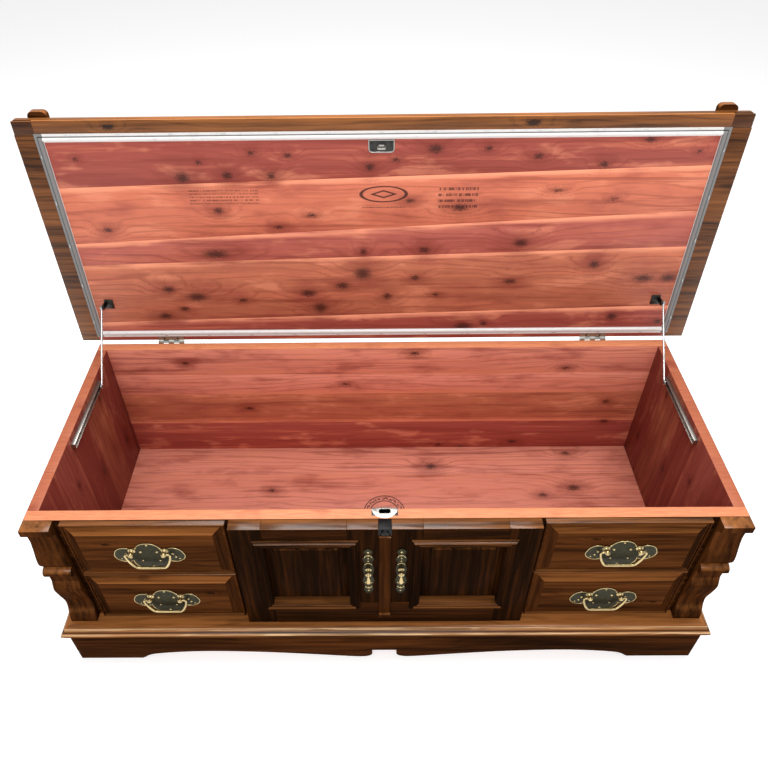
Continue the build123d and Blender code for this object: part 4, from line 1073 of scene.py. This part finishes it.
def make_aprons():
    """Bracket-footed boards under the ledge, mitred at the front corners."""
    low, high = on_bench("apron_front")
    proud, thick, half, top = -low.y, high.y - low.y, high.x, high.z
    scroll = flowing([(480, 2.5), (459, 16), (402, 24.5), (336, 27), (240, 22.5), (142, 12.5), (57, 2.5), (32, 4.5),
                      (24, 12)], 5)
    right = [(half, top), (half, 0), (484, 0), *scroll, (24, 29)]
    front = prism([*right, *[(-u, v) for u, v in reversed(right)]], proud - thick, proud)
    for side in SIDES.values():
        cut_off(front, (side * half, 0, proud), (side, 0, -1))
    finished(eased(front), "apron_front", FACE, "pine_apron", smooth=30)
    arch = flowing([(76, 0), (101, 16), (DEPTH / 2 - 17, 26), (DEPTH - 135, 16), (DEPTH - 110, 0)], 6)
    for word, side in SIDES.items():
        board = prism([(-proud, 0), *arch, (DEPTH, 0), (DEPTH, top), (-proud, top)], side * (half - thick),
                      side * half)
        cut_off(board, (-proud, 0, side * half), (-1, 0, -side))
        finished(eased(board), f"apron_{word}", END, "pine_deep", smooth=30)
    inner = box_mm("apron_rear")[1].x
    foot = inner - 110
    rear = prism([(-inner, 0), (-foot, 0), (-foot, 26), (foot, 26), (foot, 0), (inner, 0), (inner, top),
                  (-inner, top)], -thick, 0, sizes("edge"))
    finished(rear, "apron_rear", BACK, "pine_apron")


# ------------------------------------------------------------------ lid
SEAM_X = box_mm("lid_lining")[1].x
SEAM_S = 453


def make_lid():
    """The lid's board, the border strips, the tapered lining boards and the rails on the outside."""
    top = raised(rounded((-LID_HALF, 0), (LID_HALF, LID_DEPTH), 6), LID_THICK - LINING - 5, crowned(5))
    finished(flipped(top, -LINING), "lid_top", LID, "pine_lid")
    finished(plank((-SEAM_X, SEAM_S, -LINING), (SEAM_X, LID_DEPTH, 0)), "lid_front_rail", LID, "border_front")
    strips = [plank((side * SEAM_X, 0, -LINING), (side * LID_HALF, SEAM_S, 0)) for side in SIDES.values()]
    finished(together(strips, "border"), "lid_end_strips", LID)
    corners = [plank((side * SEAM_X, SEAM_S, -LINING), (side * (LID_HALF - 1), LID_DEPTH - 1, 0))
               for side in SIDES.values()]
    finished(together(corners, "border_corner"), "lid_corner_blocks", LID)
    edges = [(0, 0), *LINING_JOINTS, (SEAM_S, SEAM_S)]
    boards = [prism([(-SEAM_X, a[0]), (SEAM_X, a[1]), (SEAM_X, b[1]), (-SEAM_X, b[0])], -LINING, 0, 0.5)
              for a, b in zip(edges, edges[1:])]
    finished(together(boards, "lid_cedar"), "lid_lining", LID)
    for word in SIDES:
        low, high = box_mm(f"lid_rail_{word}")
        rail = raised(rounded((low.x, 12), (high.x, LID_DEPTH + 9), 9), 11, crowned(7, 5))
        finished(flipped(rail, -LID_THICK), f"lid_rail_{word}", LID, "pine_lid")


def make_seal():
    """Four mitred strips with a bulb on their inner half, stapled through the flange."""
    profile = [(0, 0), (0, 1), (4.9, 1), (5.4, 0.7), (5.9, 1), (6.4, 2.7), (7.6, 4), (9.6, 4.4), (11.6, 4),
               (13, 2.8), (13.6, 1), (15, 0.8), (15, 0)]
    half_s = (SEAL_FRONT - SEAL_BACK) / 2
    strips = painted(shift(framed(profile, SEAL_HALF, half_s), v=SEAL_BACK + half_s), "seal")
    pitch = sizes("staple_gap")
    across = plank((-4, -0.5, 0.9), (4, 0.5, 1.5), 0.15)
    along = plank((-0.5, -4, 0.9), (0.5, 4, 1.5), 0.15)
    staples = []
    for index in range(-6, 7):
        for s in (SEAL_FRONT - 2.5, SEAL_BACK + 2.5):
            staples.append(shift(copied(across), index * pitch, s))
    for index in range(5):
        for side in SIDES.values():
            staples.append(shift(copied(along), side * (SEAL_HALF - 2.5), 50 + index * pitch))
    for sample in (across, along):
        bpy.data.objects.remove(sample)
    finished(together([strips, together(staples, "chrome")]), "lid_seal", LID)


def make_keeper():
    """The catch: a plate with a turned-up rim and a staple that enters the lock."""
    low, high = -23, 23
    outline = rounded((low, 415), (high, 439), 7, (True, True, False, False))
    plate = raised(outline, 1.1, [(0.4, 0.4), (1.2, 0), (0.4, -0.5)])
    painted(plate, "steel")
    tinted(plate, "nickel", lambda at, normal: at[2] > 1.2 and normal[2] > 0.3)
    bar = prism([(-7.5, 0), (7.5, 0), (7.5, 15.5), (6, 17), (-6, 17), (-7.5, 15.5)], -430, -427, 0.4)
    hole = prism(rounded((-5, 1.5), (5, 14), 1.5), -431, -426)
    staple = painted(shift(carve(bar, hole), turn=UPRIGHT.inverted()), "nickel")
    finished(together([plate, staple]), "keeper_plate", LID)


# ------------------------------------------------------------------ hinges
HINGE_X = (box_mm("hinge_pins")[1].x, 27.5)
KNUCKLES = 5


def knuckle(x, index):
    """One knuckle's two ends along the pin."""
    pitch = 2 * HINGE_X[1] / KNUCKLES
    low = x - HINGE_X[1] + index * pitch
    return low + 0.15, low + pitch - 0.15


def make_hinges():
    """Two butt hinges: leaves on the case and on the lid, knuckles and pins."""
    centre = HINGE_X[0] - HINGE_X[1]
    pin_y = PIN.y - FRONT
    case, lid, pins = [], [], []
    edge = sizes("metal_edge")
    for side in SIDES.values():
        x = side * centre
        case.append(plank((x - HINGE_X[1], DEPTH, RIM - 26), (x + HINGE_X[1], DEPTH + 1.2, RIM - 1), edge))
        lid.append(plank((x - HINGE_X[1], 0, 0), (x + HINGE_X[1], 9.6, 1.2), edge))
        for index in range(KNUCKLES):
            low, high = knuckle(x, index)
            ring = collar(1.3, 2.5, low, high, 0.25)
            if index % 2:
                lid.append(plank((low, -PIN_BEHIND, 0), (high, 0.5, 1.2), edge))
                lid.append(shift(ring, v=-PIN_BEHIND, w=PIN_RISE, turn=SIDEWAYS))
            else:
                case.append(plank((low, DEPTH, RIM - 1.5), (high, DEPTH + 1.2, PIN.z), edge))
                case.append(shift(ring, v=pin_y, w=PIN.z, turn=SIDEWAYS))
        pins.append(rod((x - HINGE_X[1], pin_y, PIN.z), (x + HINGE_X[1], pin_y, PIN.z), 1.2))
    finished(together(case, "nickel"), "case_hinge_leaves", TOP)
    finished(together(lid, "nickel"), "lid_hinge_leaves", LID)
    finished(together(pins, "nickel"), "hinge_pins", TOP)


# ------------------------------------------------------------------ stays
STAY_S, STAY_DEEP = 95, 12


def make_stays():
    """At each end: a bracket with an ear, a rod with two eyes, and a slider in a channel."""
    low, high = on_bench("stay_rod_right")
    top = Vector((high.y - 5, high.z - 5))
    foot = Vector((low.y + 5, low.z + 5))
    middle = (low.x + high.x) / 2
    track_low, track_high = on_bench("stay_tracks")
    brackets, tracks = [], []
    edge = sizes("metal_edge")
    for word, side in SIDES.items():
        brackets.append(plank((side * 548, STAY_S - 11, 0), (side * 566, STAY_S + 11, 1.5), edge))
        ear = prism(chain([(STAY_S - 6, 0), (STAY_S + 6, 0)],
                          arc((STAY_S + 6, STAY_DEEP), (STAY_S, STAY_DEEP + 6), (STAY_S - 6, STAY_DEEP), 12)),
                    564, 566, edge)
        brackets.append(shift(ear, turn=ACROSS if side > 0 else Matrix.Diagonal((-1, 1, 1, 1)) @ ACROSS))
        brackets.append(rod((side * 564.5, STAY_S, STAY_DEEP), (side * 571.4, STAY_S, STAY_DEEP), 1.5))
        cap = shift(bead(3, 1), turn=SIDEWAYS if side > 0 else SIDEWAYS.inverted())
        brackets.append(shift(cap, side * 571.3, STAY_S, STAY_DEEP))
        line = (foot - top).normalized() * 4.4
        bar = rod((*(top + line), side * middle), (*(foot - line), side * middle), 2)
        eyes = [shift(collar(1.65, 5, -2, 2, 0.5), at.x, at.y, side * middle) for at in (top, foot)]
        finished(together([bar, *eyes], "chrome"), f"stay_rod_{word}", END)
        channel = prism([(572, -6), (580, -6), (580, 6), (572, 6), (572, 4.6), (578.5, 4.6), (578.5, -4.6),
                         (572, -4.6)], track_low.y, track_high.y, 0.3)
        turn = Matrix(((side, 0, 0, 0), (0, 0, 1, 0), (0, 1, 0, foot.y), (0, 0, 0, 1)))
        tracks.append(shift(channel, turn=turn))
        for end in (track_low.y, track_high.y - 1.5):
            tracks.append(plank((side * 572, end, track_low.z), (side * 580, end + 1.5, track_high.z), edge))
        block = plank((side * 572.3, foot.x - 8, foot.y - 4.2), (side * 578.2, foot.x + 8, foot.y + 4.2), 1)
        pin = rod((side * 566.6, foot.x, foot.y), (side * 573, foot.x, foot.y), 1.5)
        head = shift(bead(2.8, 0.9), turn=SIDEWAYS.inverted() if side > 0 else SIDEWAYS)
        shift(head, side * 566.9, foot.x, foot.y)
        finished(together([block, pin, head], "steel"), f"stay_slider_{word}", TOP)
    finished(together(brackets, "steel"), "stay_brackets", LID)
    finished(together(tracks, "nickel"), "stay_tracks", TOP)


# ------------------------------------------------------------------ pulls
PULL_PROUD = FRONT - box_mm("pull_plates")[1].y
POST_X, POST_UP = 28, 17
BAIL_EYE = 1.8
BAIL_ARCS = ((4, 97), (75, 25), (9, 56), (581, 4), (9, 56), (75, 25), (4, 97))


def pull_places():
    """Each pull's level and side, and its plate's centre: across, and above the floor."""
    for level in ("upper", "lower"):
        for word in SIDES:
            low, high = box_mm(f"bail_{level}_{word}")
            yield level, word, (low.x + high.x) / 2, high.z - BAIL_EYE - POST_UP


def bail_path():
    """The bail's line, from arcs of (radius, turn), and its thickness along it."""
    at = Vector((-POST_X + 4.5, 0))
    heading = pi
    points = [at, at + Vector((-6, 0)), at + Vector((-11, 0))]
    for radius, turn in BAIL_ARCS:
        count = 8 if radius > 400 else 5
        step = radians(turn) / count
        for _ in range(count):
            long = 2 * radius * sin(step / 2)
            points.append(points[-1] + long * Vector((cos(heading + step / 2), sin(heading + step / 2))))
            heading += step
    points += [points[-1] + Vector((-5, 0)), points[-1] + Vector((-11, 0))]
    return [(p.x, p.y, 0) for p in points], [1 + 0.35 * min(1, max(0, -p.y - 6) / 24) for p in points]


def make_pulls():
    """Each pull: a scrolled plate with a raised rim and beads, two turned posts and a bail."""
    outline = mirrored(chain(arc((0, 38), (11, 36), (20, 27), 8), arc((20, 27), (23.5, 21), (28, 19), 5),
                             arc((28, 19), (46, 25), (59, 11), 12), arc((59, 11), (61, 0), (54, -11), 7),
                             arc((54, -11), (43, -16), (31, -13), 8), arc((31, -13), (29, -24), (20, -33), 7),
                             arc((20, -33), (10, -37.5), (0, -39), 5)))
    rim = sizes("plate_rim")
    plate = raised(outline, 0.9, [(0.35, 0.8), (rim - 0.7, 0.1), (0.35, -0.7)])
    painted(plate, "brass_dark")
    tinted(plate, "brass_bright", lambda at, normal: at[2] > 1.1 and normal[2] > 0.2)
    dots = [(14, 13, 2.4), (40, 7, 2.2), (44, -2, 2.0), (33, -4, 2.2), (15, -13, 1.8), (50, -7, 1.5), (21, 24, 1.8),
            (0, 33, 2.0), (0, -30, 2.2)]
    dots += [(-u, v, r) for u, v, r in dots if u]
    beads = [shift(bead(r, r * 0.7), u, v, 0.95) for u, v, r in dots]
    plate = together([plate, together(beads, "brass_bright")])
    post = together([turned([(0, 0), (6.5, 0), (6.5, 0.5), (6, 1.1), (5, 1.5), (4.2, 2.6), (3.5, 4), (4.3, 5.4),
                             (4.5, 7.5), (4.3, 9.8), (3.2, 11.4), (1.6, 12.2), (0, 12.4)], 28)], "brass_bright")
    points, thickness = bail_path()
    bail = wire(points, sizes("bail"), thickness)
    plates, posts = [], []
    for level, word, x, z in pull_places():
        plates.append(shift(copied(plate), x, z, PULL_PROUD))
        for across in (-POST_X, POST_X):
            posts.append(shift(copied(post), x + across, z + POST_UP, PULL_PROUD + 1.6))
        finished(copied(bail), f"bail_{level}_{word}",
                 FACE @ Matrix.Translation((x, z + POST_UP, PULL_PROUD + 9.1)), "brass_bright")
    finished(together(plates), "pull_plates", FACE)
    finished(together(posts), "pull_posts", FACE)
    for sample in (plate, post, bail):
        bpy.data.objects.remove(sample)


# ------------------------------------------------------------------ pendants
PENDANT_X = 28.5
PENDANT_Z = RIM - 125
KNOB_UP = 7


def make_pendants():
    """On each side of the post: a scrolled plate, a slotted knob and a hanging drop."""
    half = flowing([(0, 72), (6, 67), (8, 60), (5.5, 52), (10, 40), (7, 28), (10, 8), (7.5, -12), (10.5, -28),
                    (7, -44), (8.5, -56), (5, -67), (0, -72)], 5)
    plate = painted(raised(mirrored(half), 0.8, [(0.3, 0.8), (1.0, 0.1), (0.3, -0.6)]), "brass_dark")
    parts = [bead(r, r * 0.7) for r in (2.4, 2.0, 1.6, 1.6, 2.0, 2.4, 1.6)]
    for part, v in zip(parts, (60, 50, 41, 33, -40, -52, -62)):
        shift(part, 0, v, 0.9)
    for v, rise, wide in ((45, 6, 6.5), (22, 5, 6), (-33, -5, 6.5), (-47, -5, 6)):
        curve = arc((-wide, v), (0, v + rise), (wide, v), 8)
        parts.append(wire([(a, b, 1.2) for a, b in curve], 0.9, sides=2))
    plate = together([plate, together(parts, "brass_bright")])
    knob = turned([(0, 0), (5.5, 0), (5.5, 1.2), (4.2, 2), (3.2, 3.4), (3.2, 5.2), (4.4, 6.8), (5.3, 8.8), (5.2, 10.8),
                   (3.8, 12.4), (1.8, 13), (0, 13)], 28)
    carve(knob, plank((-2, -6, 3), (2, 3.2, 14), 0))
    knob = together([knob, rod((-3, 0, 8), (3, 0, 8), 1.1)])
    drop = turned([(0, -31.2), (1.6, -30.6), (3.2, -29.4), (4.2, -27.4), (4.5, -25), (4.3, -22), (3.4, -17.5),
                   (2.3, -12.5), (1.6, -9), (1.9, -7.6), (1.9, -6), (1.3, -4.8), (1.2, -2.4), (0, -2.4)], 28)
    shift(drop, turn=UPRIGHT)
    drop = together([drop, shift(collar(1.3, 2.8, -1.6, 1.6, 0.3), turn=SIDEWAYS)])
    plates, knobs = [], []
    for word, side in SIDES.items():
        place = (side * PENDANT_X, PENDANT_Z)
        plates.append(shift(copied(plate), *place, FRAME_PROUD))
        knobs.append(shift(copied(knob), place[0], place[1] + KNOB_UP, FRAME_PROUD + 1.5))
        finished(copied(drop), f"pendant_drop_{word}",
                 FACE @ Matrix.Translation((place[0], place[1] + KNOB_UP, FRAME_PROUD + 9.5)), "brass_bright")
    finished(together(plates), "pendant_plates", FACE)
    finished(together(knobs, "brass_bright"), "pendant_knobs", FACE)
    for sample in (plate, knob, drop):
        bpy.data.objects.remove(sample)


# ------------------------------------------------------------------ lock
def make_lock():
    """The plate on the rim, the case under it, the barrel in the front, the button and its latch."""
    low, high = on_bench("lock_case")
    plate = prism(lens(), high.z, RIM, sizes("metal_edge"))
    slot = rounded((-10, 10.5), (10, 19.5), 3.5)
    carve(plate, prism(slot, high.z - 2, RIM + 2))
    finished(plate, "lock_plate", TOP, "nickel")
    case = plank(low, high, 0.3)
    wall = Vector((1.8, 1.8, 1.8))
    carve(case, plank(low + wall, high - wall, 0))
    carve(case, prism(slot, high.z - 4, high.z + 2))
    carve(case, shift(prism(disc(3.3), -low.y - 5, -low.y + 5), w=BUTTON_Z, turn=UPRIGHT.inverted()))
    finished(case, "lock_case", TOP, "steel")
    low, high = box_mm("lock_barrel")
    outline = rounded((low.x, low.z), (high.x, high.z), 3, (True, True, False, False))
    barrel = prism(outline, 0, FRAME_PROUD, 0.5)
    carve(barrel, shift(prism(disc(7.3), 5, FRAME_PROUD + 3), v=BUTTON_Z))
    carve(barrel, shift(prism(disc(3.3), -2, 8), v=BUTTON_Z))
    finished(barrel, "lock_barrel", FACE, "black_metal")
    out = FRAME_PROUD + 3.5
    button = turned([(0, -9.4), (3, -9.4), (3, out - 12), (7, out - 12), (7, out - 2), (6.4, out - 0.8),
                     (5, out - 0.2), (3.6, out), (3.2, out - 0.6), (1.6, out - 0.9), (0, out - 0.9)], 40)
    finished(shift(button, v=BUTTON_Z), "push_button", FACE, "black_metal")
    low, high = on_bench("latch_slide")
    finished(plank(low, high, 0.3), "latch_slide", TOP, "steel")


def make_screws():
    """Slotted heads on the leaves, the stay brackets and the keeper."""
    head = turned([(0, -0.3), (2.5, -0.3), (2.6, 0.2), (2.2, 0.6), (1.2, 0.85), (0, 0.9)], 24)
    carve(head, plank((-3, -0.35, 0.35), (3, 0.35, 2), 0))
    centre = HINGE_X[0] - HINGE_X[1]
    lid, case = [], []
    for side in SIDES.values():
        for along in (-14, 14):
            small = shift(copied(head), turn=Matrix.Diagonal((0.85, 0.85, 1, 1)) @ Matrix.Rotation(along, 4, "Z"))
            lid.append(shift(small, side * centre + along, 5, 1.2))
        for along in (-6, 6):
            lid.append(shift(copied(head), side * 554, STAY_S + along, 1.5, Matrix.Rotation(along * 2, 4, "Z")))
        lid.append(shift(copied(head), side * 17, 434, 1.5, Matrix.Rotation(side, 4, "Z")))
        for along in (-19, 0, 19):
            case.append(shift(copied(head), side * centre + along, RIM - 14, 1.2, Matrix.Rotation(along, 4, "Z")))
    bpy.data.objects.remove(head)
    finished(together(lid, "steel"), "lid_screws", LID)
    finished(together(case, "steel"), "case_screws", BACK)


# ------------------------------------------------------------------ stage
# The camera's place in millimetres, with Y counted from the front face, and its turns in radians
CAMERA_PLACE = (-15.0, -684.6, 1399.6)
YAW, PITCH, ROLL = -0.0106, 0.7172, -0.0147
FOCAL_LENGTH, SENSOR_WIDTH = 32.99, 36
SHIFT_X, SHIFT_Y = 0.0198, -0.0522
SKY_STRENGTH = 0.4
# Lamps: name, place and aim in metres, width and depth in metres, and power in watts
LAMPS = (("overhead", (0.1, 0.25, 2.7), (0, 0, 0.3), (2.4, 0.9), 52),
         ("front_fill", (-0.2, -2.3, 2.5), (0, 0.1, 0.5), (1.8, 1.0), 42),
         ("sheen", (0, 1.25, 2.6), (0, -0.2, 0.4), (2.2, 0.5), 10))


def make_stage():
    """A pale floor, a white sky, three soft lamps above and a camera that looks down into the open chest."""
    scene = bpy.context.scene
    clear()
    bpy.ops.mesh.primitive_plane_add(size=60)
    ground = bpy.context.object
    ground.name = "ground"
    painted(ground, "pale_floor")
    world = bpy.data.worlds.new("studio")
    world.use_nodes = True
    world.node_tree.nodes["Background"].inputs["Color"].default_value = (1, 1, 1, 1)
    world.node_tree.nodes["Background"].inputs["Strength"].default_value = SKY_STRENGTH
    scene.world = world
    for name, place, aim, size, power in LAMPS:
        bpy.ops.object.light_add(type="AREA", location=place)
        lamp = bpy.context.object
        lamp.name = name
        lamp.rotation_euler = (Vector(aim) - Vector(place)).to_track_quat("-Z", "Y").to_euler()
        lamp.data.shape = "RECTANGLE"
        lamp.data.size, lamp.data.size_y = size
        lamp.data.energy = power
    forward = Vector((sin(YAW) * cos(PITCH), cos(YAW) * cos(PITCH), -sin(PITCH)))
    right = Vector((cos(YAW), -sin(YAW), 0))
    up = right.cross(forward)
    right, up = cos(ROLL) * right + sin(ROLL) * up, cos(ROLL) * up - sin(ROLL) * right
    bpy.ops.object.camera_add()
    camera = bpy.context.object
    turn = Matrix((right, up, -forward)).transposed().to_4x4()
    camera.matrix_world = Matrix.Translation((CAMERA_PLACE[0] / MM, (FRONT + CAMERA_PLACE[1]) / MM,
                                              CAMERA_PLACE[2] / MM)) @ turn
    camera.data.lens = FOCAL_LENGTH
    camera.data.sensor_width = SENSOR_WIDTH
    camera.data.shift_x = SHIFT_X
    camera.data.shift_y = SHIFT_Y
    scene.camera = camera
    scene.view_settings.view_transform = "Standard"


# ------------------------------------------------------------------ add-on
class CHEST_OT_case(bpy.types.Operator):
    """Makes the cedar boards of the case."""
    bl_idname = "chest.case"
    bl_label = "Case Boards"

    def execute(self, context):
        make_front_board()
        make_rear_boards()
        make_end_boards()
        make_floor_boards()
        return {"FINISHED"}


class CHEST_OT_frame(bpy.types.Operator):
    """Makes the rails and stiles in the middle of the front."""
    bl_idname = "chest.frame"
    bl_label = "Front Frame"

    def execute(self, context):
        make_front_frame()
        return {"FINISHED"}


class CHEST_OT_doors(bpy.types.Operator):
    """Makes the two raised door panels, their mouldings and the post between them."""
    bl_idname = "chest.doors"
    bl_label = "Doors"

    def execute(self, context):
        make_doors()
        return {"FINISHED"}


class CHEST_OT_drawers(bpy.types.Operator):
    """Makes the four drawer fronts."""
    bl_idname = "chest.drawers"
    bl_label = "Drawer Fronts"

    def execute(self, context):
        make_drawers()
        return {"FINISHED"}


class CHEST_OT_pilasters(bpy.types.Operator):
    """Makes the sawn profile boards at the front's ends."""
    bl_idname = "chest.pilasters"
    bl_label = "Pilasters"

    def execute(self, context):
        make_pilasters()
        return {"FINISHED"}


class CHEST_OT_base(bpy.types.Operator):
    """Makes the base mouldings and the aprons."""
    bl_idname = "chest.base"
    bl_label = "Base"

    def execute(self, context):
        make_base_mouldings()
        make_aprons()
        return {"FINISHED"}


class CHEST_OT_lid(bpy.types.Operator):
    """Makes the lid's board, border, lining and rails."""
    bl_idname = "chest.lid"
    bl_label = "Lid"

    def execute(self, context):
        make_lid()
        return {"FINISHED"}


class CHEST_OT_seal(bpy.types.Operator):
    """Makes the seal under the lid."""
    bl_idname = "chest.seal"
    bl_label = "Seal"

    def execute(self, context):
        make_seal()
        return {"FINISHED"}


class CHEST_OT_keeper(bpy.types.Operator):
    """Makes the lid's catch plate and staple."""
    bl_idname = "chest.keeper"
    bl_label = "Keeper"

    def execute(self, context):
        make_keeper()
        return {"FINISHED"}


class CHEST_OT_hinges(bpy.types.Operator):
    """Makes the two hinges."""
    bl_idname = "chest.hinges"
    bl_label = "Hinges"

    def execute(self, context):
        make_hinges()
        return {"FINISHED"}


class CHEST_OT_stays(bpy.types.Operator):
    """Makes the brackets, rods, channels and sliders that hold the lid."""
    bl_idname = "chest.stays"
    bl_label = "Lid Stays"

    def execute(self, context):
        make_stays()
        return {"FINISHED"}


class CHEST_OT_pulls(bpy.types.Operator):
    """Makes the four bail pulls."""
    bl_idname = "chest.pulls"
    bl_label = "Drawer Pulls"

    def execute(self, context):
        make_pulls()
        return {"FINISHED"}


class CHEST_OT_pendants(bpy.types.Operator):
    """Makes the two pendant pulls."""
    bl_idname = "chest.pendants"
    bl_label = "Door Pendants"

    def execute(self, context):
        make_pendants()
        return {"FINISHED"}


class CHEST_OT_lock(bpy.types.Operator):
    """Makes the lock with its button."""
    bl_idname = "chest.lock"
    bl_label = "Lock"

    def execute(self, context):
        make_lock()
        return {"FINISHED"}


class CHEST_OT_screws(bpy.types.Operator):
    """Makes the screw heads."""
    bl_idname = "chest.screws"
    bl_label = "Screws"

    def execute(self, context):
        make_screws()
        return {"FINISHED"}


class CHEST_OT_stage(bpy.types.Operator):
    """Makes the floor, the lights and the camera."""
    bl_idname = "chest.stage"
    bl_label = "Studio"

    def execute(self, context):
        make_stage()
        return {"FINISHED"}


OPERATORS = (CHEST_OT_case, CHEST_OT_frame, CHEST_OT_doors, CHEST_OT_drawers,
             CHEST_OT_pilasters, CHEST_OT_base, CHEST_OT_lid, CHEST_OT_seal,
             CHEST_OT_keeper, CHEST_OT_hinges, CHEST_OT_stays, CHEST_OT_pulls,
             CHEST_OT_pendants, CHEST_OT_lock, CHEST_OT_screws, CHEST_OT_stage)


class CHEST_PT_pieces(bpy.types.Panel):
    """Lists what can be made, and the sizes and colours that it is made with"""
    bl_idname = "CHEST_PT_pieces"
    bl_label = "Hope Chest"
    bl_space_type = "VIEW_3D"
    bl_region_type = "UI"
    bl_category = "Chest"

    def draw(self, context):
        for kind in OPERATORS:
            self.layout.operator(kind.bl_idname)
        for group in (context.scene.chest_sizes, context.scene.chest_colours):
            box = self.layout.box()
            for name in group.__annotations__:
                box.prop(group, name)


CLASSES = (ChestSizes, ChestColours, *OPERATORS, CHEST_PT_pieces)


def register():
    for kind in CLASSES:
        bpy.utils.register_class(kind)
    bpy.types.Scene.chest_sizes = PointerProperty(type=ChestSizes)
    bpy.types.Scene.chest_colours = PointerProperty(type=ChestColours)


def unregister():
    del bpy.types.Scene.chest_colours
    del bpy.types.Scene.chest_sizes
    for kind in reversed(CLASSES):
        bpy.utils.unregister_class(kind)


def main():
    register()
    for kind in OPERATORS:
        group, word = kind.bl_idname.split(".")
        getattr(getattr(bpy.ops, group), word)()


if __name__ == "__main__":
    main()
